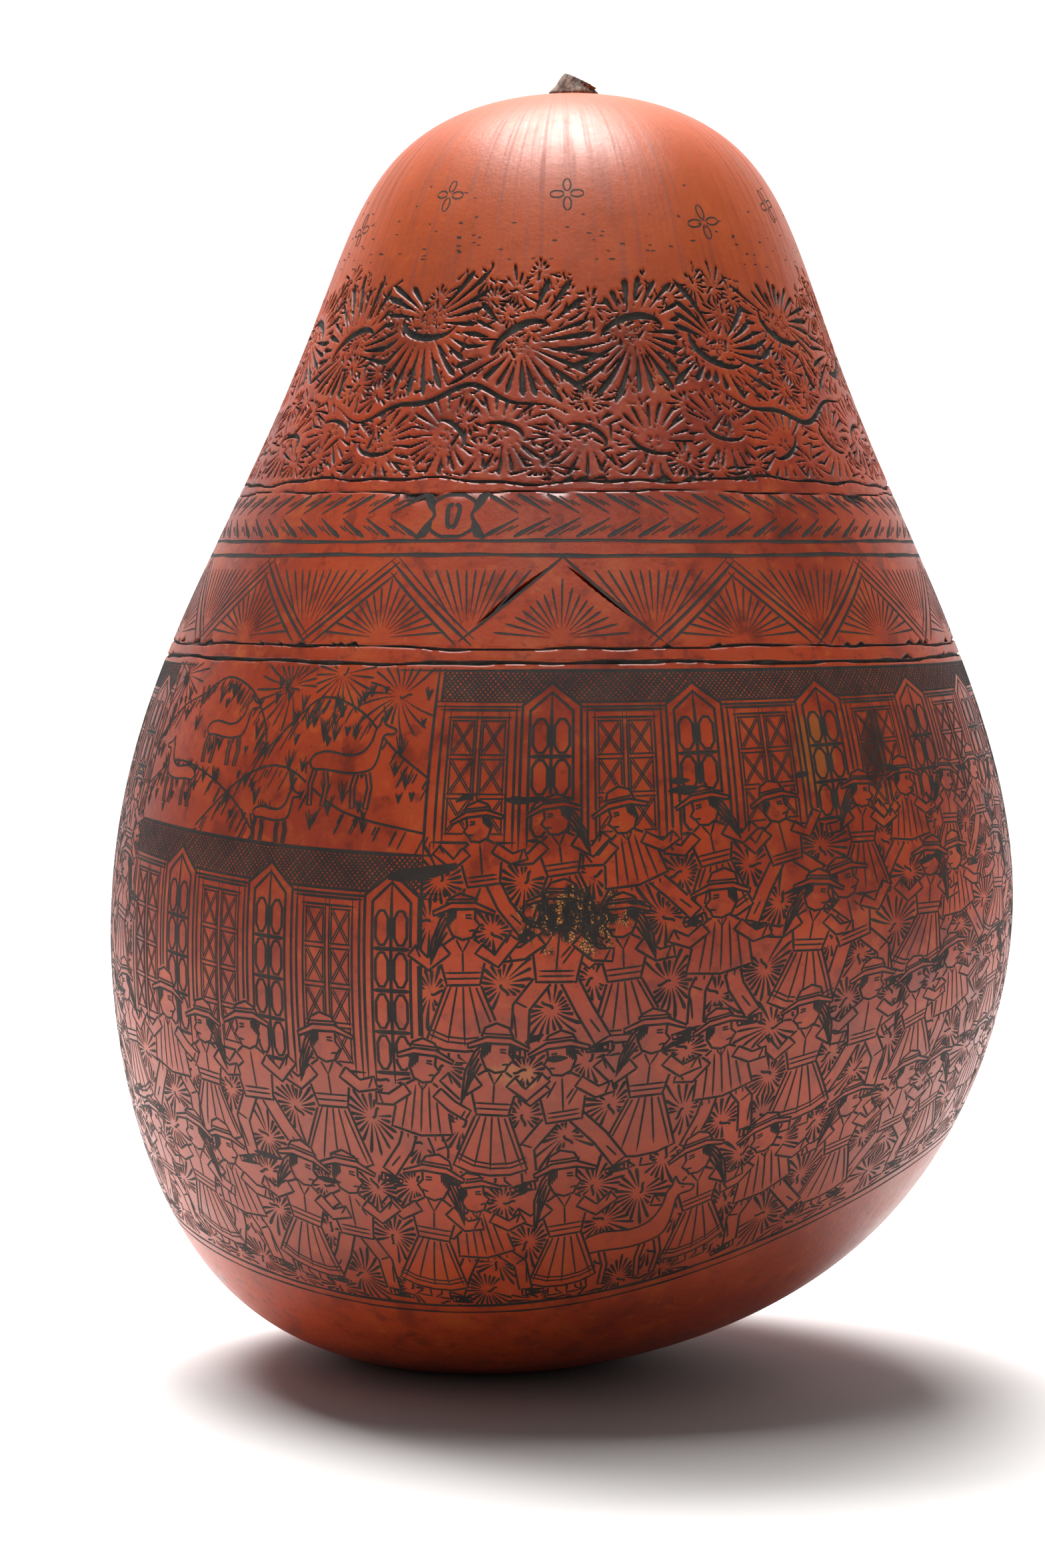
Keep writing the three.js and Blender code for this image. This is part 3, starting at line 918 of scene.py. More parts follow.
def frieze_scene():
    """The figures in front first, then the panels behind them, which they hide in part."""
    def round_to(degrees):
        return math.radians(degrees) * frieze.radius

    dancers()
    house(*LEFT_PANEL, 22.2, 40.0, 18.8, 4)
    mountain(*LEFT_PANEL, 0.5, 18.5)
    house(-13.0, round_to(112), *UPPER_HOUSE)
    mountain(round_to(113), round_to(166), 0.5, 15.5)
    house(round_to(167), round_to(291), *UPPER_HOUSE)
    spread_fans(frieze, fan_centres(frieze, 4.1, 3), 5.4, 0.18, 18, 0.65)
    blots()


# ---------------------------------------------------------------- the frond band, cut deep

CUT_DEPTH = 0.6            # of the deepest cuts
CUT_WALL = 0.24            # width of the slope at a cut's side
SOOT_LEVEL = 0.24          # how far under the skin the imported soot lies
SOOT_THICKNESS = 0.25

thick_lines = Sheet(38.0, 0.0, SKIN_LENGTH)


def crescent(tilt, long, short):
    """A sheltering arc beside a fan's centre, as a polar radius and the points of the arc."""
    arc = np.linspace(math.radians(195), math.radians(368), 15)
    x, y = long * np.cos(arc), short * np.sin(arc)
    points = np.stack([
        x * math.cos(tilt) - y * math.sin(tilt), x * math.sin(tilt) + y * math.cos(tilt),
    ], -1)

    def shelter(heading):
        local = (heading - tilt) % FULL_TURN
        if math.radians(193) < local < math.radians(362):
            return 0.75 + long * short / math.hypot(short * math.cos(local), long * math.sin(local))
        return 1.35
    return points, shelter


def fronds():
    """Two tiers of curling fans with a ragged upper edge."""
    sheet = relief_sheet
    x = np.linspace(-sheet.width / 2, sheet.width / 2, 500)
    turn = x / sheet.radius
    crest = 2.0 + 1.2 * np.sin(8 * turn + 0.4) + 0.8 * np.sin(19 * turn) + 0.8 * np.sin(61 * turn)
    sheet.cover(np.concatenate([np.stack([x, crest], -1), [(x[-1], -1), (x[0], -1)]]))
    vine = 15.4 + 1.5 * np.sin(8 * turn + 1.2) + 0.5 * np.sin(23 * turn)
    sheet.cover(np.concatenate([np.stack([x, vine - 0.3], -1), np.stack([x, vine + 0.3], -1)[::-1]]))
    for first, length in ((0, 60), (95, 48), (180, 70), (290, 55), (385, 80)):
        part = slice(first, first + length)
        swell = np.sin(np.linspace(0, math.pi, length))
        sheet.stroke(np.stack([x[part], vine[part] + 0.5], -1), 0.06 + 0.3 * swell, clip=False)
    tiers = (
        (17, 0.5, 8.4, 1.7, 9.0, 0.34, 21, (3.5, 1.9)),
        (27, 0.2, 19.7, 0.9, 5.0, 0.2, 17, (2.1, 1.1)),
    )
    for count, offset, height, sway, longest, width, rays, size in tiers:
        centres, shelters = [], []
        for k in range(count):
            x0 = (k + offset) * sheet.width / count + rng.uniform(-1, 1)
            y0 = height + sway * math.sin(2.4 * k)
            arc, shelter = crescent(rng.uniform(-0.7, 0.9) + math.pi * (rng.random() < 0.3), *size)
            swell = np.sin(np.linspace(0, math.pi, len(arc)))
            sheet.stroke(arc + (x0, y0), 0.08 + 1.1 * width * swell)
            for petals in range(5):
                petal(sheet, x0, y0, 0.4 + 1.25 * petals, 0.3 * size[1] + 0.1, 0.12 * size[1])
            centres.append((x0, y0))
            shelters.append(shelter)
        spread_fans(sheet, np.array(centres), longest, width, rays, 0.9,
                    lambda i, heading: shelters[i](heading))
    fill_gaps(sheet, 2.6, 6, 3.8, 0.2, 12, 0.5)
    fill_gaps(sheet, 1.8, 5, 2.2, 0.16, 7, 0.4)


def fill_gaps(sheet, spacing, least, longest, width, rays, start):
    """Small fans in whatever room is left between the strokes."""
    cover_strokes(sheet)
    spread_fans(sheet, fan_centres(sheet, spacing, least), longest, width, rays, start)


def ragged_line(y, width, wobble, seed, spikes):
    """A cut line all round, with heavier stretches and small spikes along its upper side."""
    wavy_round(thick_lines, y, width, wobble, seed)
    sheet = thick_lines
    for _ in range(spikes):
        x = (rng.random() - 0.5) * sheet.width
        turn = x / sheet.radius
        if math.sin(3 * turn + seed) + 0.6 * math.sin(7 * turn) < -0.2:
            continue
        size = rng.uniform(0.5, 1.5)
        spike = [(x - size, y), (x, y - 0.25 * size), (x + 0.4 * size, y)]
        sheet.stroke(spike, [0.08, 0.28, 0.1], clip=False)


def thick_border_lines():
    ragged_line(59.0, 0.2, 0.6, 1, 90)
    ragged_line(60.3, 0.13, 0.3, 2, 0)
    ragged_line(77.2, 0.17, 0.3, 5, 50)
    ragged_line(78.8, 0.24, 0.25, 6, 40)


def carve(sheet, columns, drops):
    """Depth of the sheet's cuts under each point of a grid of columns and drops."""
    depth = np.zeros((len(drops), columns))
    pitch = sheet.width / columns
    for points, widths in sheet.strokes:
        for (x0, y0), (x1, y1), w0, w1 in zip(points, points[1:], widths, widths[1:]):
            reach = max(w0, w1)
            first = int((min(x0, x1) - reach + sheet.width / 2) / pitch)
            last = int((max(x0, x1) + reach + sheet.width / 2) / pitch) + 2
            top = np.searchsorted(drops, sheet.top + min(y0, y1) - reach)
            bottom = np.searchsorted(drops, sheet.top + max(y0, y1) + reach)
            if bottom <= top:
                continue
            column = np.arange(first, last)
            x = column * pitch - sheet.width / 2 - x0
            y = drops[top:bottom, None] - sheet.top - y0
            dx, dy = x1 - x0, y1 - y0
            share = np.clip((x * dx + y * dy) / max(dx * dx + dy * dy, 1e-9), 0, 1)
            away = np.hypot(x - share * dx, y - share * dy)
            width = w0 + share * (w1 - w0)
            wall = np.minimum(CUT_WALL, width + 1e-6)
            bottomed = CUT_DEPTH * np.clip(width / 0.3, 0.3, 1)
            cut = bottomed * smooth((width - away) / wall, 0, 1)
            window = np.ix_(np.arange(top, bottom), column % columns)
            depth[window] = np.maximum(depth[window], cut)
    return depth


# ---------------------------------------------------------------- draw everything

border_lines()
crown_flowers()
garland()
zigzag()
frieze_scene()
fronds()
thick_border_lines()

engraving = ribbon_mesh("engraving_soot", [crown_sheet, garland_sheet, zigzag_sheet, frieze, base_sheet])


# ---------------------------------------------------------------- the rind

SKIN_COLUMNS = 1200
FINE_ZONES = ((34.0, 60.6), (76.6, 79.5))   # drops between which the rind is cut
FINE_STEP = 0.16                            # from row to row there
COARSE_STEP = 0.9                           # and elsewhere


def skin_rows():
    """Drops of the skin's rows: close together where the cuts are deep."""
    marks = [0.5]
    for top, bottom in FINE_ZONES:
        marks += list(np.arange(marks[-1] + COARSE_STEP, top, COARSE_STEP))
        marks += list(np.arange(top, bottom, FINE_STEP))
    marks += list(np.arange(marks[-1] + COARSE_STEP, SKIN_LENGTH - 0.5, COARSE_STEP))
    return np.array(marks)


def front_of_skin(x, height):
    """The point of the skin's front at this x and height."""
    lean = CROWN_LEAN * smooth(height + FOOT_HEIGHT, LEAN_START, SKIN_HEIGHT)
    round_height = height + FOOT_HEIGHT - tilt_rise(x - lean, height + FOOT_HEIGHT)
    radius = np.interp(-round_height, -HEIGHTS, RADII)
    return Vector((x, -math.sqrt(radius ** 2 - (x - lean) ** 2), height))


SLIT_APEX = (-0.6, 86.1)           # x and height, where the two slits would meet
SLIT_SPREAD = math.radians(38)     # of each slit below level
SLIT_START = 0.9       # from the apex to where each slit begins
SLIT_LENGTH = 9.6
SLIT_WIDTH = 0.6
SLIT_REACH = 6.0       # of the cutter, to either side of the skin


def slit_cutter(side):
    """A thin lens, pushed through the rind square to the skin."""
    run = (side * math.cos(SLIT_SPREAD), -math.sin(SLIT_SPREAD))
    near = [a + SLIT_START * b for a, b in zip(SLIT_APEX, run)]
    far = [a + SLIT_LENGTH * b for a, b in zip(near, run)]
    start, end = front_of_skin(*near), front_of_skin(*far)
    along = end - start
    half = along.length / 2
    along.normalize()
    centre = (start + end) / 2
    rise = front_of_skin(centre.x, centre.z + 1) - front_of_skin(centre.x, centre.z - 1)
    beside = front_of_skin(centre.x + 1, centre.z) - front_of_skin(centre.x - 1, centre.z)
    outward = beside.cross(rise).normalized()
    across = outward.cross(along).normalized()
    stations = np.linspace(-1, 1, 33)
    ring = []
    for edge, sweep in ((-1, stations), (1, stations[::-1])):
        for share in sweep[:-1]:
            rough = 0.035 * math.sin(37 * share + edge) * (1 - share * share)
            bulge = edge * SLIT_WIDTH / 2 * (1 - share * share) + rough
            ring.append(centre + along * (half * share) + across * bulge)
    count = len(ring)
    points = np.array([p + outward * reach for reach in (-SLIT_REACH, SLIT_REACH) for p in ring])
    here = np.arange(count)
    sides = np.stack([here, (here + 1) % count, (here + 1) % count + count, here + count], -1)
    ends = [here[None, ::-1], here[None, :] + count]
    return mesh_object(f"slit_{side}", points, [sides, *ends], smooth_faces=False)


def cut_away(target, cutters):
    """Takes the cutters' shapes out of the target's mesh, and the cutters out of the scene."""
    for cutter in cutters:
        modifier = target.modifiers.new("cut", "BOOLEAN")
        modifier.solver = "MANIFOLD"
        modifier.operation = "DIFFERENCE"
        modifier.object = cutter
    graph = bpy.context.evaluated_depsgraph_get()
    mesh = bpy.data.meshes.new_from_object(target.evaluated_get(graph))
    target.modifiers.clear()
    mesh.materials.clear()
    mesh.polygons.foreach_set("material_index", np.zeros(len(mesh.polygons), np.int32))
    old = target.data
    target.data = mesh
    bpy.data.meshes.remove(old)
    for cutter in cutters:
        bpy.data.meshes.remove(cutter.data)


CAVITY_ROWS, CAVITY_COLUMNS = 90, 128
SHARP_ANGLE = math.radians(55)   # steeper edges, such as the slits' lips, aren't shaded smooth


def gourd_rind():
    """The closed, carved rind with its cavity and the two slits."""
    drops = skin_rows()
    depth = carve(relief_sheet, SKIN_COLUMNS, drops)
    depth = np.maximum(depth, carve(thick_lines, SKIN_COLUMNS, drops))
    outer, outer_faces = closed_skin(drops, SKIN_COLUMNS, depth)
    outer = wear_foot(hollow_dimple(outer))
    inner_rows = np.linspace(2.0, SKIN_LENGTH - 2.0, CAVITY_ROWS)
    inner, inner_faces = closed_skin(inner_rows, CAVITY_COLUMNS, WALL, first=len(outer), flip=True)
    rind = mesh_object("gourd_rind", np.concatenate([outer, inner]), outer_faces + inner_faces)
    cut = rind.data.attributes.new("cut", "FLOAT", "POINT")
    values = np.concatenate([depth.ravel(), np.zeros(2 + len(inner))])
    cut.data.foreach_set("value", values.astype(np.float32))
    cut_away(rind, [slit_cutter(-1), slit_cutter(1)])
    rind.data.set_sharp_from_angle(angle=SHARP_ANGLE)
    return rind


BELT_STEP = 0.8
BELT_COLUMNS = 400


def soot_belt(top, bottom):
    """A thin closed band under the skin, which shows wherever the cuts go deeper than it."""
    drops = np.linspace(top, bottom, int((bottom - top) / BELT_STEP) + 2)
    columns = BELT_COLUMNS
    angle = np.linspace(-math.pi, math.pi, columns, endpoint=False)
    grid_angle, grid_drop = np.meshgrid(angle, np.concatenate([drops, drops[::-1]]))
    depth = np.repeat([SOOT_LEVEL, SOOT_LEVEL + SOOT_THICKNESS], len(drops))[:, None]
    points = skin(grid_angle, grid_drop, depth).reshape(-1, 3)
    rows = 2 * len(drops)
    column = np.arange(columns)
    ahead = (column + 1) % columns
    last = (rows - 1) * columns
    closing = np.stack([last + column, column, ahead, last + ahead], -1)
    return mesh_object(f"soot_belt_{round(top)}", points, [ring_faces(rows, columns), closing])


# ---------------------------------------------------------------- materials

def srgb(red, green, blue):
    """A colour given in 0 to 255 steps, as the shader's linear values."""
    def linear(step):
        share = step / 255
        return share / 12.92 if share <= 0.04045 else ((share + 0.055) / 1.055) ** 2.4
    return (linear(red), linear(green), linear(blue), 1.0)


class Shader:
    """A material's node tree, with short names for the nodes it is built from."""

    def __init__(self, name):
        self.material = bpy.data.materials.new(name)
        self.material.use_nodes = True
        self.tree = self.material.node_tree
        self.surface = self.tree.nodes["Principled BSDF"]
        self.place = self.node("ShaderNodeTexCoord").outputs["Object"]

    def node(self, kind, **settings):
        made = self.tree.nodes.new(kind)
        for key, value in settings.items():
            setattr(made, key, value)
        return made

    def link(self, source, target):
        self.tree.links.new(source, target)

    def set(self, **values):
        for key, value in values.items():
            self.surface.inputs[key.replace("_", " ")].default_value = value

    def math(self, operation, *values):
        made = self.node("ShaderNodeMath", operation=operation)
        for slot, value in zip(made.inputs, values):
            if isinstance(value, (int, float)):
                slot.default_value = value
            else:
                self.link(value, slot)
        return made.outputs[0]

    def noise(self, size, detail=3.0, rough=0.55, where=None, stretch=(1, 1, 1)):
        """Noise whose features are about the size given, in millimetres."""
        mapping = self.node("ShaderNodeMapping")
        mapping.inputs["Scale"].default_value = [s / (size * MM) for s in stretch]
        self.link(where or self.place, mapping.inputs["Vector"])
        made = self.node("ShaderNodeTexNoise")
        made.inputs["Scale"].default_value = 1.0
        made.inputs["Detail"].default_value = detail
        made.inputs["Roughness"].default_value = rough
        self.link(mapping.outputs[0], made.inputs["Vector"])
        return made.outputs["Fac"]

    def between(self, value, low, high, smooth_ends=True):
        """Rises from 0 at low to 1 at high."""
        made = self.node("ShaderNodeMapRange")
        made.interpolation_type = "SMOOTHSTEP" if smooth_ends else "LINEAR"
        for name, amount in (("From Min", low), ("From Max", high), ("To Min", 0.0), ("To Max", 1.0)):
            made.inputs[name].default_value = amount
        self.link(value, made.inputs["Value"])
        return made.outputs["Result"]

    def mix(self, share, first, second):
        made = self.node("ShaderNodeMix", data_type="RGBA")
        for name, value in (("Factor", share), ("A", first), ("B", second)):
            slots = [s for s in made.inputs if s.name == name and s.enabled]
            if isinstance(value, (int, float, tuple)):
                slots[0].default_value = value
            else:
                self.link(value, slots[0])
        return [s for s in made.outputs if s.enabled][0]

    def tint(self, colour, paint, amount, pattern, low, high):
        """Lays up to the amount of paint over the colour, as the pattern goes from low to high."""
        share = self.math("MULTIPLY", self.between(pattern, low, high), amount)
        return self.mix(share, colour, paint)

    def bump(self, height, strength, distance):
        made = self.node("ShaderNodeBump")
        made.inputs["Strength"].default_value = strength
        made.inputs["Distance"].default_value = distance * MM
        self.link(height, made.inputs["Height"])
        self.link(made.outputs[0], self.surface.inputs["Normal"])

    def plain(self, colour, roughness, gloss, height, strength, distance):
        """Finishes a material that has the same roughness and gloss all over."""
        self.link(colour, self.surface.inputs["Base Color"])
        self.set(Roughness=roughness, Specular_IOR_Level=gloss)
        self.bump(height, strength, distance)
        return self.material


def rind_material():
    """Waxed red-brown rind: mottled and streaked along the crown; its brighter orange crown is partly its
    own tone and partly painted light from above, and its lighter pink band low down is painted sheen.
    """
    s = Shader("waxed_rind")
    parts = s.node("ShaderNodeSeparateXYZ")
    s.link(s.place, parts.inputs[0])
    x, y, z = parts.outputs
    round_about = s.math("ARCTAN2", x, y)
    streak_place = s.node("ShaderNodeCombineXYZ")
    s.link(s.math("MULTIPLY", round_about, 0.03), streak_place.inputs[0])
    s.link(s.math("MULTIPLY", z, 0.06), streak_place.inputs[1])
    streak = s.noise(0.9, 4, 0.6, streak_place.outputs[0])
    broad_streak = s.noise(3.5, 3, 0.5, streak_place.outputs[0])
    mottle = s.noise(5.0, 4, 0.6)
    cloud = s.noise(22.0, 2, 0.5)
    blotch = s.noise(2.0, 4, 0.65)
    fine = s.noise(0.7, 3, 0.6)
    speck = s.noise(0.35, 2, 0.5)

    colour = s.mix(s.between(cloud, 0.35, 0.65), srgb(178, 64, 25), srgb(146, 49, 22))
    colour = s.tint(colour, srgb(184, 80, 28), 0.6, mottle, 0.5, 0.72)
    colour = s.tint(colour, srgb(94, 32, 20), 0.6, mottle, 0.47, 0.3)
    colour = s.tint(colour, srgb(92, 30, 22), 0.5, blotch, 0.46, 0.34)
    colour = s.tint(colour, srgb(192, 92, 36), 0.45, blotch, 0.56, 0.7)
    # painted light: the crown is mixed towards a brighter orange, partly the rind's own tone and partly
    # light from above painted into the colour
    crown = s.between(z, 0.1, 0.125)
    colour = s.mix(s.math("MULTIPLY", crown, 0.65), colour, srgb(216, 98, 40))
    streaks = s.math("MULTIPLY", s.between(z, 0.085, 0.12), 0.45)
    streaks = s.math("MULTIPLY", s.between(streak, 0.45, 0.7), streaks)
    colour = s.mix(streaks, colour, srgb(128, 44, 20))
    # painted sheen: a lighter pink band low down, patchy with the cloud noise, paints the soft gloss there
    # into the colour
    painted_sheen_band = s.math("MULTIPLY", s.between(z, 0.052, 0.03), s.between(z, 0.006, 0.02))
    painted_sheen_band = s.math("MULTIPLY", painted_sheen_band, s.between(cloud, 0.2, 0.55))
    colour = s.mix(s.math("MULTIPLY", painted_sheen_band, 0.6), colour, srgb(152, 76, 56))
    colour = s.tint(colour, srgb(84, 34, 24), 0.25, fine, 0.58, 0.75)
    cut = s.node("ShaderNodeAttribute", attribute_name="cut").outputs["Fac"]
    colour = s.tint(colour, srgb(46, 38, 34), 0.95, cut, 0.01, 0.14)
    ragged = s.math("MULTIPLY", s.math("SUBTRACT", s.noise(1.6, 4, 0.6), 0.5), 1.6)

    def patch(place, size, edge=0.25):
        """1 inside an uneven patch about a point of the skin, both in millimetres."""
        shift = s.node("ShaderNodeVectorMath", operation="SUBTRACT")
        s.link(s.place, shift.inputs[0])
        shift.inputs[1].default_value = [part * MM for part in place]
        scaled = s.node("ShaderNodeVectorMath", operation="DIVIDE")
        s.link(shift.outputs[0], scaled.inputs[0])
        scaled.inputs[1].default_value = [part * MM for part in size]
        reach = s.node("ShaderNodeVectorMath", operation="LENGTH")
        s.link(scaled.outputs[0], reach.inputs[0])
        return s.between(s.math("ADD", reach.outputs["Value"], ragged), 1 + edge, 1 - edge)

    ochre = s.math("MULTIPLY", patch((24.5, -37, 66.5), (2.2, 4, 4.2)), 0.75)
    colour = s.mix(ochre, colour, srgb(160, 92, 38))
    ochre = s.math("MULTIPLY", patch((-5.0, -44, 36.0), (3.4, 4, 1.6)), 0.6)
    colour = s.mix(ochre, colour, srgb(176, 112, 62))
    for place, size in (
        ((31, -33, 67), (1.3, 3, 4.5)), ((36.3, -27, 59), (1.5, 3, 1.6)),
        ((42, -17, 61), (3, 1.4, 1.7)), ((38, -26, 48), (1.6, 3, 2.4)),
    ):
        colour = s.mix(s.math("MULTIPLY", patch(place, size, 0.4), 0.85), colour, srgb(34, 26, 22))
    scab = patch((0.8, -44.5, 51.4), (6.0, 6, 3.7), 0.12)
    crackle = s.node("ShaderNodeTexVoronoi", feature="DISTANCE_TO_EDGE")
    crackle.inputs["Scale"].default_value = 1.0 / (0.28 * MM)
    s.link(s.place, crackle.inputs["Vector"])
    grains = s.between(crackle.outputs["Distance"], 0.06, 0.2)
    clusters = s.between(s.noise(1.5, 4, 0.7, stretch=(1.7, 1, 0.7)), 0.46, 0.56)
    specks = s.math("MULTIPLY", grains, clusters)
    colour = s.mix(scab, colour, s.mix(specks, srgb(32, 23, 19), srgb(206, 132, 62)))
    s.link(colour, s.surface.inputs["Base Color"])

    rough = s.math("ADD", s.math("MULTIPLY", mottle, 0.22), s.math("MULTIPLY", fine, 0.16))
    rough = s.math("ADD", rough, s.math("MULTIPLY", streaks, 0.3))
    rough = s.math("ADD", rough, s.math("MULTIPLY", s.between(cut, 0.0, 0.1), 0.3))
    s.link(s.math("ADD", rough, 0.24), s.surface.inputs["Roughness"])
    s.set(Specular_IOR_Level=0.42)
    height = s.math("ADD", s.math("MULTIPLY", streak, 0.5), s.math("MULTIPLY", fine, 0.5))
    height = s.math("ADD", height, s.math("MULTIPLY", broad_streak, 1.2))
    height = s.math("ADD", height, s.math("MULTIPLY", speck, 0.2))
    s.bump(height, 0.35, 0.12)
    return s.material


def soot_material():
    """Wiped lamp-black in fine cuts, with a little pale dust."""
    s = Shader("soot")
    dust = s.noise(0.3, 4, 0.7)
    colour = s.mix(s.between(s.noise(2.5), 0.35, 0.7), srgb(36, 32, 29), srgb(52, 44, 38))
    colour = s.tint(colour, srgb(120, 108, 98), 0.5, dust, 0.62, 0.8)
    return s.plain(colour, 0.72, 0.35, dust, 0.5, 0.06)


def packed_soot_material():
    """Charcoal ground between the fronds, grey with ash and dust."""
    s = Shader("packed_soot")
    dust = s.noise(0.4, 5, 0.7)
    patch = s.noise(3.0, 3, 0.6)
    colour = s.mix(s.between(patch, 0.35, 0.65), srgb(52, 50, 47), srgb(78, 74, 68))
    colour = s.tint(colour, srgb(128, 122, 112), 0.7, dust, 0.55, 0.75)
    return s.plain(colour, 0.85, 0.3, dust, 0.8, 0.15)


def stalk_material():
    s = Shader("dry_stalk")
    grain = s.noise(0.5, 5, 0.65, stretch=(1, 1, 0.25))
    patch = s.noise(1.6, 3, 0.5)
    colour = s.mix(s.between(grain, 0.35, 0.65), srgb(84, 66, 54), srgb(156, 132, 116))
    colour = s.tint(colour, srgb(70, 42, 30), 0.5, patch, 0.5, 0.7)
    return s.plain(colour, 0.8, 0.3, grain, 0.7, 0.2)


def cut_end_material():
    s = Shader("stalk_cut_end")
    grain = s.noise(0.35, 4, 0.6)
    colour = s.mix(s.between(grain, 0.35, 0.7), srgb(44, 27, 20), srgb(92, 60, 44))
    return s.plain(colour, 0.85, 0.25, grain, 0.6, 0.2)


def seed_material():
    s = Shader("seed_coat")
    grain = s.noise(0.6, 4, 0.6)
    patch = s.noise(3.0, 3, 0.5)
    colour = s.mix(s.between(patch, 0.35, 0.65), srgb(196, 168, 124), srgb(164, 130, 88))
    colour = s.tint(colour, srgb(118, 88, 56), 0.5, grain, 0.5, 0.75)
    return s.plain(colour, 0.65, 0.35, grain, 0.6, 0.1)


def floor_material():
    """White paper that fades away far from the gourd, so that it has no horizon."""
    s = Shader("pale_floor")
    s.link(s.mix(s.noise(60), srgb(180, 177, 176), srgb(186, 184, 183)), s.surface.inputs["Base Color"])
    s.set(Roughness=0.7, Specular_IOR_Level=0.2)
    parts = s.node("ShaderNodeVectorMath", operation="LENGTH")
    s.link(s.place, parts.inputs[0])
    s.link(s.between(parts.outputs["Value"], FLOOR_FADE_END, FLOOR_FADE_START), s.surface.inputs["Alpha"])
    return s.material


# ---------------------------------------------------------------- the stalk

STALK_HEIGHT = 2.0       # at the middle of the cut end
STALK_SLANT = 0.8        # the cut end is this much lower towards +X, higher towards -X
STALK_LEAN = 0.9         # the cut end stands this far towards +X
STALK_ROOT_LIFT = 0.39   # of the root's rim, which sits on the dimple's slope
STALK_GAP = 0.35         # between the stalk and the dimple's floor


def stalk():
    """The dried stub: flared root, five soft ribs, and a dark cut end that slants down towards +X."""
    base = CROWN[2] - DIMPLE_DEPTH + STALK_GAP
    columns, rows = 80, 34
    angle = np.linspace(0, FULL_TURN, columns, endpoint=False)
    share = np.linspace(0, 1, rows)[:, None]
    radius = np.interp(share, [0, 0.2, 0.4, 0.6, 0.8, 0.96, 1], [2.45, 2.5, 2.25, 2.0, 1.85, 1.72, 1.66])
    ribs = 1 + (0.1 - 0.08 * share) * np.cos(5 * angle) + 0.025 * np.cos(11 * angle + 4 * share)
    ribs = ribs + 0.02 * np.sin(23 * angle - 3 * share)
    wave = radius * ribs * (1 + 0.02 * np.sin(9 * share + 2 * angle))
    x = CROWN[0] + STALK_LEAN * share ** 2 + wave * np.cos(angle)
    y = wave * np.sin(angle)
    z = base + STALK_ROOT_LIFT + (STALK_HEIGHT - STALK_ROOT_LIFT) * share
    z = z - STALK_SLANT * share ** 2 * np.cos(angle)
    points = np.stack([x, y, z], -1).reshape(-1, 3)
    ends = [(CROWN[0], 0, base + 0.02), (CROWN[0] + STALK_LEAN, 0, base + STALK_HEIGHT - 0.12)]
    count = rows * columns
    cut_end = cap_faces(count + 1, count - columns, columns)
    thing = mesh_object("stalk_stub", np.concatenate([points, ends]), [
        ring_faces(rows, columns, flip=True),
        cap_faces(count, 0, columns, flip=True),
        cut_end,
    ])
    thing.data.materials.append(stalk_material())
    thing.data.materials.append(cut_end_material())
    slots = np.zeros(len(thing.data.polygons), dtype=np.int32)
    slots[-len(cut_end):] = 1
    thing.data.polygons.foreach_set("material_index", slots)
    return thing


# ---------------------------------------------------------------- the pieces, on their bodies

rind = gourd_rind()
belts = [soot_belt(RELIEF_TOP - 0.3, 60.4), soot_belt(76.7, 79.4)]
stub = stalk()
rind.data.materials.append(rind_material())
engraving.data.materials.append(soot_material())
ground = packed_soot_material()
for belt in belts:
    belt.data.materials.append(ground)

for piece in (rind, engraving, *belts, stub):
    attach(piece, "gourd")
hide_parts("gourd_shell")
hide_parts("stem")

coat = seed_material()
for node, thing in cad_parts.items():
    if node.startswith("seed_"):
        thing.data.materials.clear()
        thing.data.materials.append(coat)


# ---------------------------------------------------------------- floor, light and camera

def area_light(name, place, target, size, power, glossy=True, diffuse=True, only=None):
    """A soft box; with only given, it lights those things alone, and the rest still cast shadows."""
    lamp = bpy.data.lights.new(name, "AREA")
    lamp.shape = "RECTANGLE"
    lamp.size, lamp.size_y = size
    lamp.energy = power
    thing = bpy.data.objects.new(name, lamp)
    thing.visible_glossy = glossy
    thing.visible_diffuse = diffuse
    thing.location = place
    thing.rotation_euler = (Vector(target) - Vector(place)).to_track_quat("-Z", "Y").to_euler()
    bpy.context.scene.collection.objects.link(thing)
    if only:
        lit = bpy.data.collections.new(name + "_lit")
        for each in only:
            lit.objects.link(each)
        thing.light_linking.receiver_collection = lit
    return thing


FLOOR_FADE_START, FLOOR_FADE_END = 0.22, 0.6   # metres from the origin


def floor():
    reach = 700.0
    points = [(-reach, -reach, 0), (reach, -reach, 0), (reach, reach, 0), (-reach, reach, 0)]
    plane = mesh_object("floor", np.array(points), [np.array([[0, 1, 2, 3]])])
    plane.data.materials.append(floor_material())
    return plane


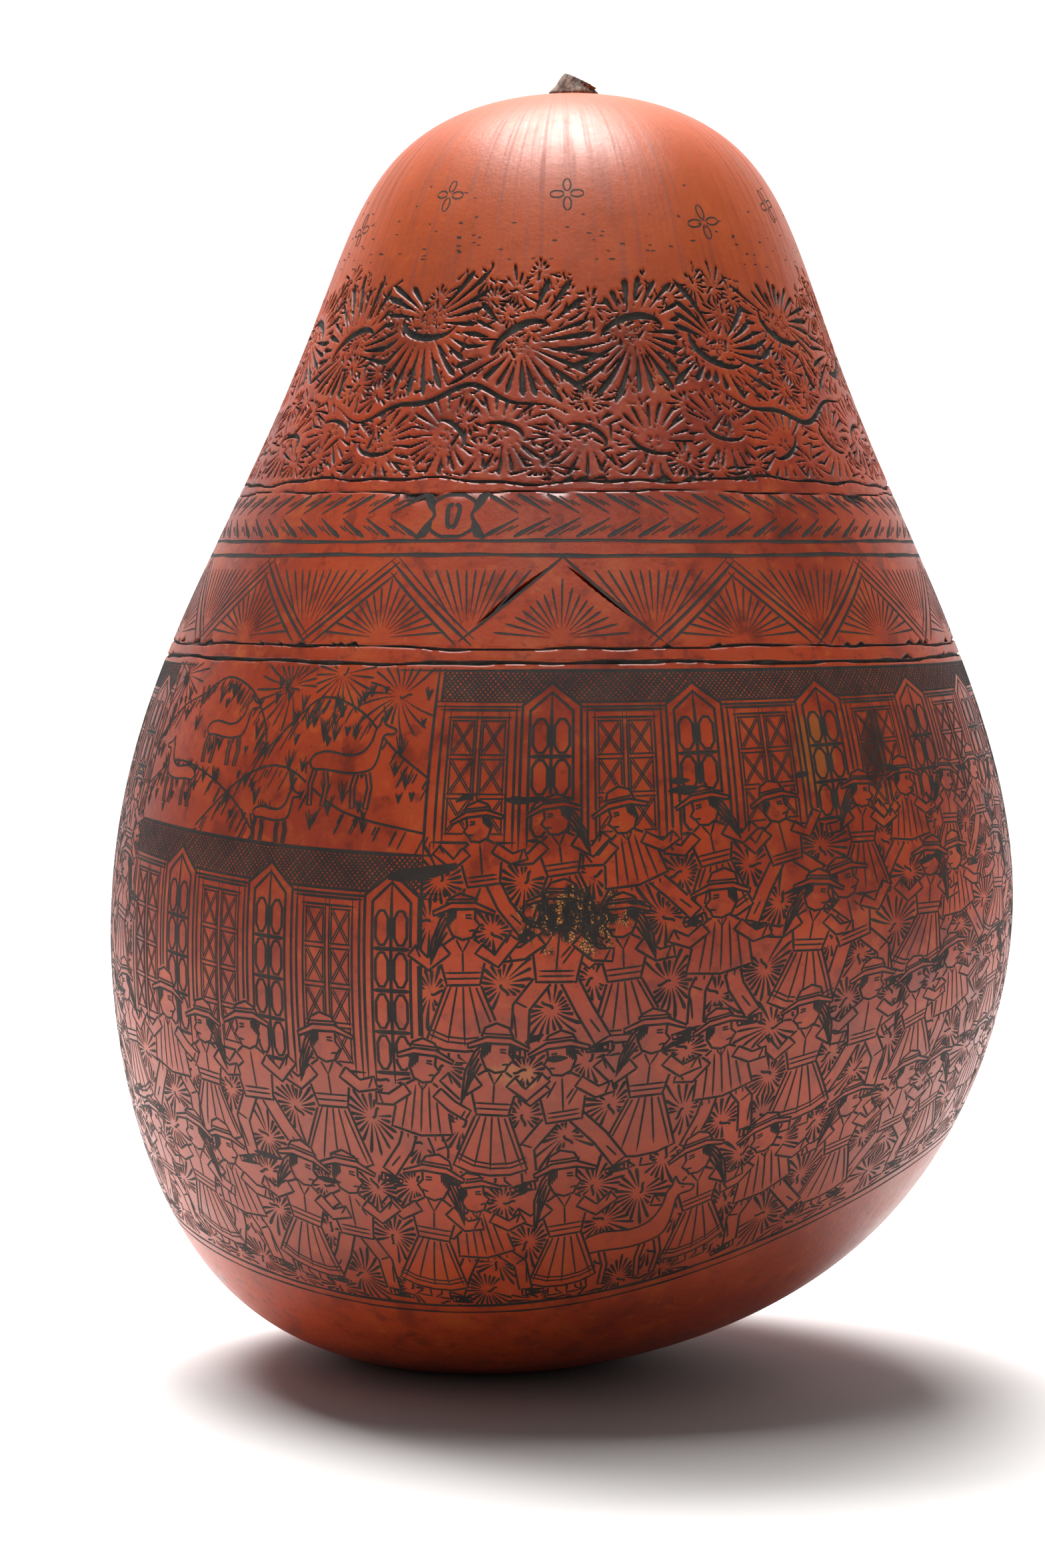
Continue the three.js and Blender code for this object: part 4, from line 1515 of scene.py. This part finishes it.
def studio_world():
    """White light from behind and above, dimmer from the front; the room itself is seen as white."""
    world = bpy.data.worlds.new("studio")
    world.use_nodes = True
    tree = world.node_tree
    direction = tree.nodes.new("ShaderNodeTexCoord").outputs["Generated"]
    parts = tree.nodes.new("ShaderNodeSeparateXYZ")
    tree.links.new(direction, parts.inputs[0])
    strengths = []
    for axis, low, high, dim, bright in (
        ("Y", 0.35, 0.9, FRONT_LIGHT, BACK_LIGHT), ("Z", 0.25, 0.9, 0.0, TOP_LIGHT),
    ):
        ramp = tree.nodes.new("ShaderNodeMapRange")
        ramp.interpolation_type = "SMOOTHSTEP"
        for name, value in (("From Min", low), ("From Max", high), ("To Min", dim), ("To Max", bright)):
            ramp.inputs[name].default_value = value
        tree.links.new(parts.outputs[axis], ramp.inputs["Value"])
        strengths.append(ramp.outputs["Result"])
    total = tree.nodes.new("ShaderNodeMath")
    total.operation = "MAXIMUM"
    for slot, strength in zip(total.inputs, strengths):
        tree.links.new(strength, slot)
    seen = tree.nodes.new("ShaderNodeMath")
    seen.operation = "MAXIMUM"
    tree.links.new(total.outputs[0], seen.inputs[0])
    tree.links.new(tree.nodes.new("ShaderNodeLightPath").outputs["Is Camera Ray"], seen.inputs[1])
    tree.links.new(seen.outputs[0], tree.nodes["Background"].inputs["Strength"])
    tree.nodes["Background"].inputs["Color"].default_value = (1, 1, 1, 1)
    bpy.context.scene.world = world


FRONT_LIGHT, BACK_LIGHT, TOP_LIGHT = 0.16, 1.3, 0.24
paper = floor()
studio_world()
bpy.context.scene.view_settings.view_transform = "Standard"

area_light("softbox", (-0.03, 0.09, 0.56), (0, 0, 0.09), (0.24, 0.36), 4.4)
area_light("sheen_box", (-0.02, 0.0, 0.58), (0, 0, 0.1), (0.26, 0.34), 3.4, diffuse=False)
area_light("back_key", (-0.09, 0.29, 0.5), (0, -0.02, 0.02), (0.52, 0.32), 19.0, glossy=False, only=[paper])
area_light("back_wash", (0.01, 0.4, 0.5), (0, -0.02, 0.04), (0.18, 0.18), 1.0, glossy=False)

CAMERA_DISTANCE = 470.0
CAMERA_SHIFT = -4.2
CAMERA_HEIGHT = 86.5
CAMERA_DIP = 3.0           # degrees below level
camera_data = bpy.data.cameras.new("camera")
camera_data.lens = 100.0
camera_data.sensor_width = 36.0
camera_data.sensor_fit = "AUTO"
camera_data.clip_start = 0.01
camera = bpy.data.objects.new("camera", camera_data)
camera.location = Vector((CAMERA_SHIFT, -CAMERA_DISTANCE, CAMERA_HEIGHT)) * MM
camera.rotation_euler = (math.radians(90 - CAMERA_DIP), 0, 0)
bpy.context.scene.collection.objects.link(camera)
bpy.context.scene.camera = camera
